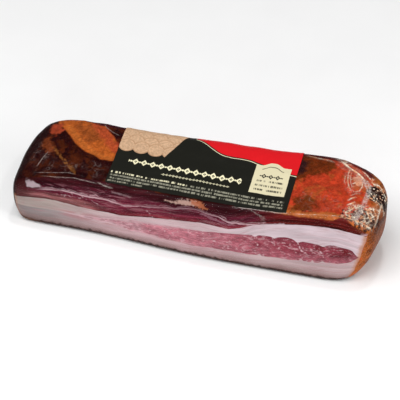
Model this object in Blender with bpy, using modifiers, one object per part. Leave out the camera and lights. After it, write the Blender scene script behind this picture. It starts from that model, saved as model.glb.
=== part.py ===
"""A slab of smoked bacon, vacuum packed skin-tight in clear film, with a printed label over its top.

Metres, +Z up. The slab lies flat on its rind with its length along X and its cut face towards -Y, so
that its layers show on that face: dark lean on top, a band of fat, pink lean, and fat down to the
rind. Each layer is a solid that runs through the slab from the cut face to the back. The film lies on
them everywhere, so the layers' outer faces are the pack's own outline. The label is a thin sheet on
the top, bent down over the slab's back edge.
"""

import math

import bmesh
import bpy

# The slab's sections from its left end to its right end, each as its place along X, its front and
# back faces along Y, and its height at the front and at the back.
SECTIONS = (
    (-0.1417, -0.0287, 0.0338, 0.0395, 0.0445),
    (-0.1330, -0.0309, 0.0375, 0.0430, 0.0492),
    (-0.1140, -0.0309, 0.0374, 0.0490, 0.0560),
    (-0.0810, -0.0309, 0.0358, 0.0555, 0.0585),
    (-0.0490, -0.0325, 0.0348, 0.0562, 0.0575),
    (-0.0190, -0.0351, 0.0343, 0.0575, 0.0595),
    (0.0160, -0.0365, 0.0351, 0.0580, 0.0610),
    (0.0510, -0.0363, 0.0343, 0.0600, 0.0610),
    (0.0800, -0.0361, 0.0343, 0.0635, 0.0645),
    (0.1050, -0.0359, 0.0328, 0.0668, 0.0665),
    (0.1270, -0.0352, 0.0258, 0.0640, 0.0650),
    (0.1421, -0.0297, 0.0183, 0.0565, 0.0600),
)

# How far in from an edge of the cage its first row lies. The rounding comes out at 0.57 of this.
FRONT_ROW = 0.009
BACK_ROW = 0.015
BASE_ROW = 0.008

# How far each end draws back at its rear corner, its front corner, its base and its top edge, and
# the share of it that the rows next to the end take part in.
LEFT_DRAW = {"rear": 0.0090, "front": 0.001, "base": 0.006, "top": 0.002}
RIGHT_DRAW = {"rear": 0.004, "front": 0.0068, "base": 0.0150, "top": 0.001}
DRAW_SHARES = (1.0, 0.75, 0.3)

# The borders between the layers, as points across the cut face: place along X and height.
UPPER_LEAN_FOOT = (
    (-0.150, 0.0235), (-0.132, 0.0270), (-0.113, 0.0298), (-0.096, 0.0284), (-0.070, 0.0272),
    (-0.055, 0.0274), (-0.042, 0.0304), (-0.030, 0.0332), (-0.011, 0.0362), (0.008, 0.0390),
    (0.029, 0.0379), (0.038, 0.0404), (0.050, 0.0478), (0.070, 0.0527), (0.092, 0.0556),
    (0.111, 0.0556), (0.120, 0.0532), (0.131, 0.0495), (0.150, 0.0450),
)
MIDDLE_LEAN_TOP = (
    (-0.104, 0.0192), (-0.086, 0.0192), (-0.070, 0.0202), (-0.054, 0.0236), (-0.037, 0.0268),
    (-0.007, 0.0293), (0.014, 0.0310), (0.032, 0.0340), (0.056, 0.0373), (0.077, 0.0393),
    (0.094, 0.0376), (0.109, 0.0386), (0.117, 0.0379), (0.123, 0.0345), (0.128, 0.0287),
)
MIDDLE_LEAN_FOOT = (
    (-0.104, 0.0186), (-0.086, 0.0170), (-0.062, 0.0160), (-0.043, 0.0133), (-0.007, 0.0129),
    (0.029, 0.0148), (0.060, 0.0163), (0.082, 0.0175), (0.100, 0.0198), (0.113, 0.0216),
    (0.120, 0.0262), (0.128, 0.0281),
)
FAT_SEAM_LEFT = (-0.150, 0.0170)
FAT_SEAM_RIGHT = (0.150, 0.0270)

ROWS_ACROSS, ROWS_UP = 6, 5
SMOOTH_LEVELS = 2
GAP = 0.0003
MERGE = 0.00001

# A cutter reaches this far to the front and the back, and from below the slab to above it.
CUTTER_REACH = 0.060
BELOW, ABOVE = -0.010, 0.090

# The label's left and right edges, its front edge at each of them, and how far it hangs down the back.
LABEL_LEFT, LABEL_RIGHT = -0.0657, 0.0713
LABEL_FRONT_LEFT, LABEL_FRONT_RIGHT = -0.0292, -0.0345
LABEL_DROP = 0.0180
LABEL_THICKNESS = 0.0003
LABEL_CELLS_ALONG, LABEL_CELLS_ACROSS = 24, 26
BACK_BEND = 0.010
WRAP_CLEARANCE = 0.003

LEAN_DARK, LEAN_PINK = (0.16, 0.035, 0.022), (0.50, 0.13, 0.12)
FAT_WHITE = (0.86, 0.76, 0.72)
LABEL_BLACK = (0.02, 0.018, 0.02)
WET_ROUGHNESS, LABEL_ROUGHNESS = 0.25, 0.35


def clear_scene():
    """Takes out whatever the scene holds."""
    for old in list(bpy.data.objects):
        bpy.data.objects.remove(old, do_unlink=True)


def new_collection(name):
    """A collection of the scene."""
    made = bpy.data.collections.new(name)
    bpy.context.scene.collection.children.link(made)
    return made


def new_material(name, colour, roughness):
    """A plain dielectric finish."""
    made = bpy.data.materials.new(name)
    made.use_nodes = True
    shader = made.node_tree.nodes["Principled BSDF"]
    shader.inputs["Base Color"].default_value = (*colour, 1.0)
    shader.inputs["Roughness"].default_value = roughness
    shader.inputs["Metallic"].default_value = 0.0
    return made


def row_places(start, end, first_row, last_row, rows):
    """Places of the cage's rows between two edges, with a row close to each edge to hold it."""
    inner_start, inner_end = start + first_row, end - last_row
    step = (inner_end - inner_start) / (rows - 3)
    inner = [inner_start + step * row for row in range(rows - 2)]
    return [start, *inner, end]


def end_draw(draw, across, up):
    """How far an end of the slab draws back at this place across (0 front to 1 rear) and up."""
    rear, front = max(0.0, across - 0.5) * 2, 1.0 - across
    base, top = max(0.0, 0.5 - up) * 2, max(0.0, up - 0.5) * 2
    sideways = draw["rear"] * rear**2 + draw["front"] * front**2
    return sideways + draw["base"] * base**2 + draw["top"] * top**2


def cage_point(section, row_across, row_up):
    """The place of one corner of the cage."""
    x, front, back, front_top, back_top = SECTIONS[section]
    y = row_places(front, back, FRONT_ROW, BACK_ROW, ROWS_ACROSS)[row_across]
    across = (y - front) / (back - front)
    top = front_top + (back_top - front_top) * across
    top_row = FRONT_ROW + (BACK_ROW - FRONT_ROW) * across
    z = row_places(0.0, top, BASE_ROW, top_row, ROWS_UP)[row_up]
    up = z / top
    last = len(SECTIONS) - 1
    if section < len(DRAW_SHARES):
        x += end_draw(LEFT_DRAW, across, up) * DRAW_SHARES[section]
    if last - section < len(DRAW_SHARES):
        x -= end_draw(RIGHT_DRAW, across, up) * DRAW_SHARES[last - section]
    return x, y, z


def slab_cage():
    """A cube cut into a grid of rows, each corner of which is put in its place on the slab."""
    shape = bmesh.new()
    bmesh.ops.create_cube(shape, size=1.0)
    cells = (len(SECTIONS) - 1, ROWS_ACROSS - 1, ROWS_UP - 1)
    for axis, count in enumerate(cells):
        normal = [0.0, 0.0, 0.0]
        normal[axis] = 1.0
        for cut in range(1, count):
            place = [part * (cut / count - 0.5) for part in normal]
            everything = shape.verts[:] + shape.edges[:] + shape.faces[:]
            bmesh.ops.bisect_plane(shape, geom=everything, plane_co=place, plane_no=normal)
    for corner in shape.verts:
        rows = [round((part + 0.5) * count) for part, count in zip(corner.co, cells)]
        corner.co = cage_point(*rows)
    mesh = bpy.data.meshes.new("slab")
    shape.to_mesh(mesh)
    shape.free()
    mesh.shade_smooth()
    return mesh


def smoothed(obj):
    """Rounds the cage."""
    rounding = obj.modifiers.new("rounding", "SUBSURF")
    rounding.levels = rounding.render_levels = SMOOTH_LEVELS


def outline_cutter(name, outline, helpers):
    """A block with this outline, seen from the cut face, that runs right through the slab."""
    curve = bpy.data.curves.new(name, "CURVE")
    curve.dimensions = "2D"
    curve.fill_mode = "BOTH"
    curve.extrude = CUTTER_REACH
    spline = curve.splines.new("POLY")
    spline.points.add(len(outline) - 1)
    for point, (x, z) in zip(spline.points, outline):
        point.co = (x, z, 0.0, 1.0)
    spline.use_cyclic_u = True
    drawn = bpy.data.objects.new(name, curve)
    drawn.rotation_euler = (math.radians(90), 0.0, 0.0)
    helpers.objects.link(drawn)
    bpy.context.view_layer.update()
    graph = bpy.context.evaluated_depsgraph_get()
    mesh = bpy.data.meshes.new_from_object(drawn.evaluated_get(graph))
    block = bpy.data.objects.new(name, mesh)
    block.matrix_world = drawn.matrix_world
    bpy.data.objects.remove(drawn)
    shape = bmesh.new()
    shape.from_mesh(mesh)
    bmesh.ops.remove_doubles(shape, verts=shape.verts, dist=MERGE)
    bmesh.ops.recalc_face_normals(shape, faces=shape.faces)
    shape.to_mesh(mesh)
    shape.free()
    helpers.objects.link(block)
    hide(block)
    return block


def hide(helper):
    """Marks an object as a helper that isn't part of the pack."""
    helper.hide_render = True
    helper.display_type = "WIRE"


def raised(border):
    """A border moved up by the gap between two layers."""
    return [(x, z + GAP) for x, z in border]


def layer_outlines():
    """Each layer's outline: up one border, back along the other."""
    lean_top, lean_foot = list(MIDDLE_LEAN_TOP), list(MIDDLE_LEAN_FOOT)
    fat_foot = [FAT_SEAM_LEFT, *lean_top, FAT_SEAM_RIGHT]
    fat_top = [FAT_SEAM_LEFT, *lean_foot, FAT_SEAM_RIGHT]
    left, right = FAT_SEAM_LEFT[0], FAT_SEAM_RIGHT[0]
    sky = [(right, ABOVE), (left, ABOVE)]
    ground = [(right, BELOW), (left, BELOW)]
    return {
        "upper_lean": raised(UPPER_LEAN_FOOT) + sky,
        "upper_fat": raised(fat_foot) + list(reversed(UPPER_LEAN_FOOT)),
        "middle_lean": raised(lean_foot) + list(reversed(lean_top)),
        "lower_fat": fat_top + ground,
    }


def make_layer(name, mesh, cutter, material, parts):
    """One layer of the slab."""
    layer = bpy.data.objects.new(name, mesh)
    parts.objects.link(layer)
    smoothed(layer)
    cut = layer.modifiers.new("layer", "BOOLEAN")
    cut.operation = "INTERSECT"
    cut.object = cutter
    layer.material_slots[0].link = "OBJECT"
    layer.material_slots[0].material = material
    return layer


def top_and_back(x, y):
    """The height of the slab's top at a place, and the slab's back face there, by its sections."""
    for left, right in zip(SECTIONS, SECTIONS[1:]):
        if x <= right[0]:
            break
    share = (x - left[0]) / (right[0] - left[0])
    front, back, front_top, back_top = (a + (b - a) * share for a, b in zip(left[1:], right[1:]))
    height = front_top + (back_top - front_top) * (y - front) / (back - front)
    return height, back


def label_front(x):
    """Where the label's front edge lies. It follows the slab's front edge, which isn't quite along X."""
    share = (x - LABEL_LEFT) / (LABEL_RIGHT - LABEL_LEFT)
    return LABEL_FRONT_LEFT + (LABEL_FRONT_RIGHT - LABEL_FRONT_LEFT) * share


def label_point(x, run):
    """A point of the unwrapped label, just outside the slab, at this run from its front edge."""
    height, back = top_and_back(x, 0.0)
    height, back = height + WRAP_CLEARANCE, back + WRAP_CLEARANCE
    flat = back - BACK_BEND - label_front(x)
    turn = BACK_BEND * math.pi / 2
    if run <= flat:
        return x, label_front(x) + run, height
    if run <= flat + turn:
        angle = (run - flat) / BACK_BEND
        y = back - BACK_BEND + BACK_BEND * math.sin(angle)
        return x, y, height - BACK_BEND + BACK_BEND * math.cos(angle)
    return x, back, height - BACK_BEND - (run - flat - turn)


def make_label(form, material, parts):
    """A sheet laid on the slab's top and bent down over its back edge, drawn on to the slab."""
    shape = bmesh.new()
    bmesh.ops.create_grid(
        shape, x_segments=LABEL_CELLS_ALONG, y_segments=LABEL_CELLS_ACROSS, size=0.5
    )
    length = top_and_back(0.0, 0.0)[1] - label_front(0.0) + LABEL_DROP
    for corner in shape.verts:
        x = LABEL_LEFT + (LABEL_RIGHT - LABEL_LEFT) * (corner.co.x + 0.5)
        corner.co = label_point(x, length * (corner.co.y + 0.5))
    mesh = bpy.data.meshes.new("label")
    shape.to_mesh(mesh)
    shape.free()
    mesh.shade_smooth()
    label = bpy.data.objects.new("label", mesh)
    label.data.materials.append(material)
    parts.objects.link(label)
    wrap = label.modifiers.new("wrap", "SHRINKWRAP")
    wrap.target = form
    wrap.wrap_method = "NEAREST_SURFACEPOINT"
    wrap.wrap_mode = "OUTSIDE_SURFACE"
    wrap.offset = GAP
    thick = label.modifiers.new("thickness", "SOLIDIFY")
    thick.thickness = LABEL_THICKNESS
    thick.offset = 1.0
    return label


def main():
    """Builds the layers and the label."""
    clear_scene()
    parts, helpers = new_collection("bacon_pack"), new_collection("helpers")
    cage = slab_cage()
    cage.materials.append(new_material("cage", FAT_WHITE, WET_ROUGHNESS))
    colours = {
        "upper_lean": LEAN_DARK,
        "upper_fat": FAT_WHITE,
        "middle_lean": LEAN_PINK,
        "lower_fat": FAT_WHITE,
    }
    for name, outline in layer_outlines().items():
        cutter = outline_cutter(f"{name}_outline", outline, helpers)
        finish = new_material(name, colours[name], WET_ROUGHNESS)
        make_layer(name, cage, cutter, finish, parts)
    form = bpy.data.objects.new("slab_form", cage)
    helpers.objects.link(form)
    smoothed(form)
    hide(form)
    make_label(form, new_material("label", LABEL_BLACK, LABEL_ROUGHNESS), parts)


main()
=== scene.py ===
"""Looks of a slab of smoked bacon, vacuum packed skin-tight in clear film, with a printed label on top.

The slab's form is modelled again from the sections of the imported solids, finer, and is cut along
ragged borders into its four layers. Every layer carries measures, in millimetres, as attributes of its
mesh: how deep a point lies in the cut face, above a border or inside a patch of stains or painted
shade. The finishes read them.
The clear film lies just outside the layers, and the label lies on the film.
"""

import logging
import math
from dataclasses import dataclass, field
from enum import Enum
from functools import partial, reduce

import bpy
import numpy as np
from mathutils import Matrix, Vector, noise


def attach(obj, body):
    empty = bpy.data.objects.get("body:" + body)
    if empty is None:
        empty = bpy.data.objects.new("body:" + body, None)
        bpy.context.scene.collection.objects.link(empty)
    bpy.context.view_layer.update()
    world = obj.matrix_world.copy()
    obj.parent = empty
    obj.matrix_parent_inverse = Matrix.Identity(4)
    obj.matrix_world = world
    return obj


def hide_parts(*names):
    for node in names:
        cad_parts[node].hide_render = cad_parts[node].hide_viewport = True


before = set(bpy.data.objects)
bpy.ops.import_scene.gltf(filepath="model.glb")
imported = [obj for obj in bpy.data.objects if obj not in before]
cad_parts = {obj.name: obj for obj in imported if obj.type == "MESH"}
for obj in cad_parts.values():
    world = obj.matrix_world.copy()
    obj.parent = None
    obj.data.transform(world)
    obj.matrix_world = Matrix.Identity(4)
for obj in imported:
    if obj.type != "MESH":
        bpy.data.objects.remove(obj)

LOG = logging.getLogger("bacon_pack")
MM = 0.001
PER_METRE = 1000.0
LEAST_SHARE = 0.01  # a smaller share is left out
SET_IN = 4.0  # the height over which a fold of the film sets in, in millimetres
GRAIN_SHIFT = (3.7, 1.9, 5.3)  # how far each new grain is moved from the last one
NOISE_SPAN = (0.34, 0.66)  # most of the noise lies between these
MIX_INPUTS = (0, 6, 7)  # the Mix node's sockets for the share and the two colours
MIX_RESULT = 2
WRINKLE_SEED = 3  # what the wrinkles' vector noise starts from

Array = np.ndarray
Piece = bpy.types.Object
Point2 = tuple[float, float]
Point3 = tuple[float, float, float]
Colour = Point3
Socket = bpy.types.NodeSocket
Value = float | tuple[float, ...] | Socket
Inputs = dict[str | int, Value]


class Side(Enum):
    """The two coordinates of a point that an outline is drawn in."""

    TOP = (0, 1)
    FACE = (0, 2)


def take(obj: Piece) -> None:
    """Makes one object the selected and active one.

    Args:
        obj: The object to work on.
    """
    bpy.ops.object.select_all(action="DESELECT")
    obj.hide_set(False)
    obj.select_set(True)
    bpy.context.view_layer.objects.active = obj


def finish_modifier(obj: Piece, kind: str, **settings: object) -> None:
    """Adds a modifier to an object and applies it.

    Args:
        obj: The object.
        kind: The modifier's type.
        **settings: Its settings.
    """
    take(obj)
    modifier = obj.modifiers.new(kind.lower(), kind)
    for name, value in settings.items():
        setattr(modifier, name, value)
    bpy.ops.object.modifier_apply(modifier=modifier.name)


def points_of(obj: Piece) -> Array:
    """The places of an object's vertices.

    Args:
        obj: A mesh object.

    Returns:
        One row for each vertex, in metres.
    """
    found = np.empty(len(obj.data.vertices) * 3)
    obj.data.vertices.foreach_get("co", found)
    return found.reshape(-1, 3)


def place_points(obj: Piece, points: Array) -> None:
    """Moves an object's vertices to these places, one row for each, in metres."""
    obj.data.vertices.foreach_set("co", np.asarray(points, float).ravel())
    obj.data.update()


def copy_of(obj: Piece, name: str) -> Piece:
    """A copy of an object with a mesh of its own.

    Args:
        obj: The object to copy.
        name: The copy's name.

    Returns:
        The copy.
    """
    made = obj.copy()
    made.data = obj.data.copy()
    made.name = made.data.name = name
    bpy.context.scene.collection.objects.link(made)
    return made


def write_measure(obj: Piece, name: str, values: Array) -> None:
    """Keeps one number for each vertex as an attribute of the mesh."""
    kept = obj.data.attributes.new(name, "FLOAT", "POINT")
    kept.data.foreach_set("value", np.asarray(values, np.float32))


def ease(values: Array, low: float, high: float) -> Array:
    """A smooth step from 0 at one value to 1 at another, for each of these values."""
    share = np.clip((values - low) / (high - low), 0.0, 1.0)
    return share * share * (3.0 - 2.0 * share)


def inside_outline(points: Array, outline: tuple[Point2, ...]) -> Array:
    """How far inside a closed outline each point lies.

    Args:
        points: Flat points, one in each row.
        outline: The outline's corners.

    Returns:
        Distances to the outline, negative for the points outside it.
    """
    corners = np.array(outline, float)
    nearest = np.full(len(points), np.inf)
    inside = np.zeros(len(points), bool)
    for start, end in zip(corners, np.roll(corners, -1, axis=0)):
        run = end - start
        share = np.clip((points - start) @ run / (run @ run), 0.0, 1.0)
        nearest = np.minimum(nearest, np.linalg.norm(points - start - share[:, None] * run, axis=1))
        if run[1]:
            spans = (start[1] > points[:, 1]) != (end[1] > points[:, 1])
            inside ^= spans & (points[:, 0] < start[0] + (points[:, 1] - start[1]) * run[0] / run[1])
    return np.where(inside, nearest, -nearest)


def along_path(points: Array, path: tuple[Point2, ...]) -> tuple[Array, Array]:
    """How far each point lies from a path, and where along it.

    Args:
        points: Flat points, one in each row.
        path: The path's points.

    Returns:
        Distances to the path, and the share of its length at the nearest place.
    """
    corners = np.array(path, float)
    lengths = np.linalg.norm(np.diff(corners, axis=0), axis=1)
    nearest = np.full(len(points), np.inf)
    reached = np.zeros(len(points))
    passed = 0.0
    for start, end, length in zip(corners, corners[1:], lengths):
        run = end - start
        share = np.clip((points - start) @ run / (run @ run), 0.0, 1.0)
        gap = np.linalg.norm(points - start - share[:, None] * run, axis=1)
        closer = gap < nearest
        nearest = np.where(closer, gap, nearest)
        reached = np.where(closer, (passed + share * length) / lengths.sum(), reached)
        passed += length
    return nearest, reached


class Graph:
    """The nodes of one material, added and linked by short calls."""

    def __init__(self, name: str) -> None:
        """Starts a material with an empty Principled shader.

        Args:
            name: The material's name.
        """
        self.material = bpy.data.materials.new(name)
        self.material.use_nodes = True
        self.tree = self.material.node_tree
        self.shader = self.tree.nodes["Principled BSDF"]
        self.output = self.tree.nodes["Material Output"]
        self.place = self.add("ShaderNodeTexCoord").outputs["Object"]
        self.drawn = 0

    def add(self, kind: str, inputs: Inputs | None = None, **settings: object) -> bpy.types.Node:
        """Adds a node.

        Args:
            kind: The node's type.
            inputs: What its inputs are given.
            **settings: Its settings.

        Returns:
            The node.
        """
        made = self.tree.nodes.new(kind)
        for name, value in settings.items():
            setattr(made, name, value)
        self.feed(made, inputs or {})
        return made

    def feed(self, node: bpy.types.Node, inputs: Inputs) -> None:
        """Links some of a node's inputs, or sets their values.

        Args:
            node: The node.
            inputs: A socket, a number, a vector or a colour for each input, by its name or number.
        """
        for name, value in inputs.items():
            socket = node.inputs[name]
            if isinstance(value, Socket):
                self.tree.links.new(value, socket)
            elif socket.type == "RGBA":
                socket.default_value = (*value, 1.0)
            else:
                socket.default_value = value

    def maths(self, operation: str, first: Value, second: Value = 0.0) -> Socket:
        """One step of arithmetic on two numbers."""
        return self.add("ShaderNodeMath", {0: first, 1: second}, operation=operation).outputs[0]

    def total(self, *values: Value) -> Socket:
        """The sum of several numbers."""
        return reduce(partial(self.maths, "ADD"), values)

    def product(self, *values: Value) -> Socket:
        """The product of several numbers."""
        return reduce(partial(self.maths, "MULTIPLY"), values)

    def less(self, first: Value, second: Value) -> Socket:
        """The first number less the second."""
        return self.maths("SUBTRACT", first, second)

    def ratio(self, first: Value, second: Value) -> Socket:
        """The first number over the second."""
        return self.maths("DIVIDE", first, second)

    def larger(self, first: Value, second: Value) -> Socket:
        """The larger of two numbers."""
        return self.maths("MAXIMUM", first, second)

    def smaller(self, first: Value, second: Value) -> Socket:
        """The smaller of two numbers."""
        return self.maths("MINIMUM", first, second)

    def rest(self, share: Value) -> Socket:
        """What is left of one after a share."""
        return self.less(1.0, share)

    def measure(self, name: str) -> Socket:
        """A measure that the mesh carries."""
        return self.add("ShaderNodeAttribute", attribute_name=name).outputs["Fac"]

    def axis(self, place: Socket, name: str) -> Socket:
        """One coordinate of a place."""
        return self.add("ShaderNodeSeparateXYZ", {0: place}).outputs[name]

    def millimetres(self, name: str) -> Socket:
        """One coordinate of the point being shaded, in millimetres."""
        return self.product(self.axis(self.place, name), PER_METRE)

    def join(self, x: Value, y: Value, z: Value = 0.0) -> Socket:
        """A place from its three coordinates."""
        return self.add("ShaderNodeCombineXYZ", {0: x, 1: y, 2: z}).outputs[0]

    def scaled(self, place: Socket, by: Point3) -> Socket:
        """A place multiplied along each axis, and shifted at every use so that no two grains match.

        Args:
            place: The place.
            by: The factors.

        Returns:
            The new place.
        """
        self.drawn += 1
        shift = [part * self.drawn for part in GRAIN_SHIFT]
        return self.add("ShaderNodeMapping", {"Vector": place, "Scale": by, "Location": shift}).outputs[0]

    def grain(
        self, size: float, length: float = 1.0, detail: float = 2.0, warp: float = 0.0,
        place: Socket | None = None,
    ) -> Socket:
        """Soft noise, about a half on average.

        Args:
            size: The size of its blots in millimetres.
            length: How many times longer they are along X.
            detail: How many finer layers it has.
            warp: How much it is distorted.
            place: The place to read, in millimetres, or none for the object's own.

        Returns:
            A number from 0 to 1.
        """
        unit = (PER_METRE if place is None else 1.0) / size
        found = self.scaled(self.place if place is None else place, (unit / length, unit, unit))
        inputs = {"Vector": found, "Scale": 1.0, "Detail": detail, "Distortion": warp}
        return self.add("ShaderNodeTexNoise", inputs).outputs["Fac"]

    def sway(self, reach: Value, size: float, **options: object) -> Socket:
        """Soft noise that is centred on zero and then multiplied by its reach."""
        return self.product(self.less(self.grain(size, **options), 0.5), reach)

    def cells(self, size: float) -> Socket:
        """How far each point lies from the middle of its cell, as a share of the cells' size."""
        found = self.scaled(self.place, (PER_METRE / size,) * 3)
        return self.add("ShaderNodeTexVoronoi", {"Vector": found, "Scale": 1.0}).outputs["Distance"]

    def step(self, value: Value, low: float, high: float) -> Socket:
        """A smooth step from 0 at one value to 1 at another."""
        ends = {"Value": value, "From Min": low, "From Max": high}
        return self.add("ShaderNodeMapRange", ends, interpolation_type="SMOOTHSTEP").outputs["Result"]

    def fall(self, value: Value, low: float, high: float) -> Socket:
        """A smooth step from 1 at one value to 0 at another."""
        return self.rest(self.step(value, low, high))

    def band(self, value: Value, half: float, soft: float) -> Socket:
        """One within half a band's width of zero, and zero past its soft edge."""
        return self.fall(self.maths("ABSOLUTE", value), half - soft / 2, half + soft / 2)

    def threads(self, size: float, length: float, half: float, place: Socket) -> Socket:
        """Thin wandering lines, broken here and there.

        Args:
            size: The distance between lines, in millimetres.
            length: How many times longer than that they run.
            half: Half their width, as a share of the noise that they follow.
            place: The place to read, in millimetres.

        Returns:
            One on the lines and zero off them.
        """
        waves = self.grain(size, length=length, warp=0.5, place=place)
        line = self.band(self.less(waves, 0.5), half, half)
        broken = self.step(self.grain(size * 1.6, length=length * 0.6, place=place), 0.44, 0.56)
        return self.product(line, broken)

    def mix(self, share: Value, first: Value, second: Value, blend: str = "MIX") -> Socket:
        """The first colour, with a share of the second mixed into it."""
        inputs = dict(zip(MIX_INPUTS, (share, first, second)))
        return self.add("ShaderNodeMix", inputs, data_type="RGBA", blend_type=blend).outputs[MIX_RESULT]

    def shaded(self, colour: Value, amount: Socket, low: float, high: float) -> Socket:
        """A colour made darker and lighter by a noise.

        Args:
            colour: The colour.
            amount: The noise, from 0 to 1.
            low: The factor where it is lowest.
            high: The factor where it is highest.

        Returns:
            The colour with its shades.
        """
        ends = dict(zip(("From Min", "From Max", "To Min", "To Max"), (*NOISE_SPAN, low, high)))
        grey = self.add("ShaderNodeMapRange", {"Value": amount, **ends}).outputs[0]
        return self.mix(1.0, colour, self.join(grey, grey, grey), "MULTIPLY")

    def bump(self, *heights: tuple[Socket, float]) -> None:
        """Gives the shader a small relief.

        Args:
            *heights: Noises from 0 to 1, each with its depth in metres.
        """
        summed = self.total(*(self.product(amount, depth) for amount, depth in heights))
        relief = self.add("ShaderNodeBump", {"Distance": 1.0, "Height": summed})
        self.feed(self.shader, {"Normal": relief.outputs["Normal"]})


@dataclass(frozen=True)
class Border:
    """The line between two layers, seen from the cut face.

    Attributes:
        points: Places along X and heights, in metres.
        ragged: How far the real border strays from the line.
        pitch: The length of its waves.
        notches: Dips, each as its place, its depth (negative for a hump) and its half width.
        seed: Sets its waves apart from another border's.
        waves: The sizes of its waves, as shares of the pitch, each with its share of the straying.
        rounding: How far to each side the line is averaged, so that its corners are round.
        samples: How many places are averaged.
    """

    points: tuple[Point2, ...]
    ragged: float = 0.0
    pitch: float = 0.008
    notches: tuple[Point3, ...] = ()
    seed: float = 0.0
    waves: tuple[Point2, ...] = ((1.0, 1.0), (0.36, 0.5), (0.13, 0.3))
    rounding: float = 0.0022
    samples: int = 7

    def height(self, x: Array) -> Array:
        """The line's height, with its corners rounded off.

        Args:
            x: Places along the slab.

        Returns:
            The heights there.
        """
        places, heights = np.array(self.points).T
        shifts = np.linspace(-self.rounding, self.rounding, self.samples)
        softened = [np.interp(x + shift, places, heights) for shift in shifts]
        return np.mean(softened, axis=0)

    def drawn(self, x: Array) -> Array:
        """The height of the border as it really runs.

        Args:
            x: Places along the slab.

        Returns:
            The heights there.
        """
        found = self.height(x)
        for size, share in self.waves:
            swing = [noise.noise(Vector((place / (self.pitch * size), self.seed, size))) for place in x]
            found = found + self.ragged * share * np.array(swing)
        for place, depth, half in self.notches:
            found = found - depth * np.exp(-(((x - place) / half) ** 2))
        return found


UPPER_LEAN_FOOT = Border(
    points=(
        (-0.150, 0.0235), (-0.132, 0.0270), (-0.113, 0.0298), (-0.096, 0.0284), (-0.070, 0.0272),
        (-0.055, 0.0274), (-0.042, 0.0304), (-0.030, 0.0332), (-0.011, 0.0362), (0.008, 0.0390),
        (0.029, 0.0379), (0.038, 0.0404), (0.050, 0.0478), (0.070, 0.0529), (0.092, 0.0567),
        (0.111, 0.0574), (0.120, 0.0550), (0.131, 0.0497), (0.150, 0.0450),
    ),
    ragged=0.0007,
    pitch=0.012,
    seed=1.3,
)
MIDDLE_LEAN_TOP = Border(
    points=(
        (-0.150, 0.0170), (-0.104, 0.0189), (-0.086, 0.0192), (-0.070, 0.0202), (-0.054, 0.0236),
        (-0.037, 0.0268), (-0.007, 0.0293), (0.014, 0.0310), (0.032, 0.0340), (0.056, 0.0376),
        (0.077, 0.0396), (0.094, 0.0384), (0.109, 0.0390), (0.117, 0.0384), (0.1225, 0.0364),
        (0.1243, 0.0325), (0.1248, 0.0288), (0.150, 0.0270),
    ),
    ragged=0.0004,
    pitch=0.012,
    notches=(
        (0.050, 0.0016, 0.0018), (0.0645, 0.0014, 0.0016), (0.0815, 0.0024, 0.0026),
        (0.1005, 0.0017, 0.0024), (0.108, -0.0009, 0.0045), (0.072, -0.0008, 0.0045),
    ),
    seed=5.1,
)
MIDDLE_LEAN_FOOT = Border(
    points=(
        (-0.150, 0.0170), (-0.104, 0.0189), (-0.086, 0.0170), (-0.062, 0.0160), (-0.043, 0.0133),
        (-0.007, 0.0129), (0.029, 0.0148), (0.060, 0.0163), (0.082, 0.0175), (0.100, 0.0198),
        (0.113, 0.0214), (0.1190, 0.0230), (0.1235, 0.0252), (0.1248, 0.0288), (0.150, 0.0270),
    ),
    ragged=0.0007,
    pitch=0.008,
    notches=(
        (0.054, -0.0022, 0.0010), (0.085, -0.0018, 0.0012), (0.0935, -0.0026, 0.0009),
        (0.101, -0.0016, 0.0014),
    ),
    seed=9.7,
)
WHITE_SEAM = Border(
    points=(
        (-0.126, 0.0352), (-0.111, 0.0402), (-0.097, 0.0417), (-0.085, 0.0405), (-0.062, 0.0411),
        (-0.051, 0.0392), (-0.036, 0.0427), (-0.024, 0.0456), (-0.008, 0.0492), (0.006, 0.0520),
        (0.018, 0.0497), (0.032, 0.0452), (0.050, 0.0471), (0.070, 0.0520),
    ),
)
FACE_VEINS = (
    ((48.6, 36.0), (51.0, 30.8), (52.6, 25.9), (53.5, 21.0)),
    ((62.5, 38.0), (64.5, 33.0), (64.0, 29.0)),
    ((80.5, 39.0), (82.9, 34.5), (84.6, 29.6), (88.0, 25.0)),
    ((97.0, 36.0), (99.4, 29.0), (101.8, 25.3)),
    ((110.0, 33.0), (104.0, 30.5), (99.4, 29.0)),
    ((70.0, 31.5), (76.4, 29.7), (80.9, 30.3), (85.3, 29.8)),
    ((-100.5, 41.5), (-98.0, 38.0), (-96.0, 33.5)),
    ((-91.5, 42.0), (-90.4, 38.0), (-89.6, 32.0)),
    ((-84.3, 42.0), (-82.3, 37.5), (-81.5, 31.0)),
    ((-78.1, 41.5), (-75.3, 36.0), (-70.5, 34.5)),
    ((-104.0, 36.5), (-96.0, 37.5), (-88.0, 37.0), (-78.0, 37.5)),
    ((-33.0, 40.0), (-29.5, 36.5), (-28.0, 34.0)),
    ((-16.0, 45.0), (-13.5, 41.0), (-12.0, 37.5)),
)
FACE_TOP = Border(
    points=(
        (-0.141, 0.0385), (-0.125, 0.0448), (-0.112, 0.0495), (-0.069, 0.0556), (-0.024, 0.0573),
        (0.008, 0.0576), (0.038, 0.0590), (0.072, 0.0625), (0.106, 0.0667), (0.118, 0.0640), (0.131, 0.0560),
    ),
)
FACE_OUTLINE = (
    (-0.1345, 0.0012), (-0.1378, 0.0100), (-0.1385, 0.0250), (-0.1375, 0.0350), (-0.1340, 0.0435),
    (-0.1120, 0.0530), (-0.0690, 0.0600), (0.0080, 0.0620), (0.0380, 0.0640), (0.0720, 0.0680),
    (0.1060, 0.0720), (0.1150, 0.0652), (0.1215, 0.0615), (0.1275, 0.0570), (0.1318, 0.0522),
    (0.1300, 0.0440), (0.1284, 0.0360), (0.1268, 0.0240), (0.1246, 0.0150), (0.1210, 0.0050),
    (0.1170, 0.0012),
)


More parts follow.
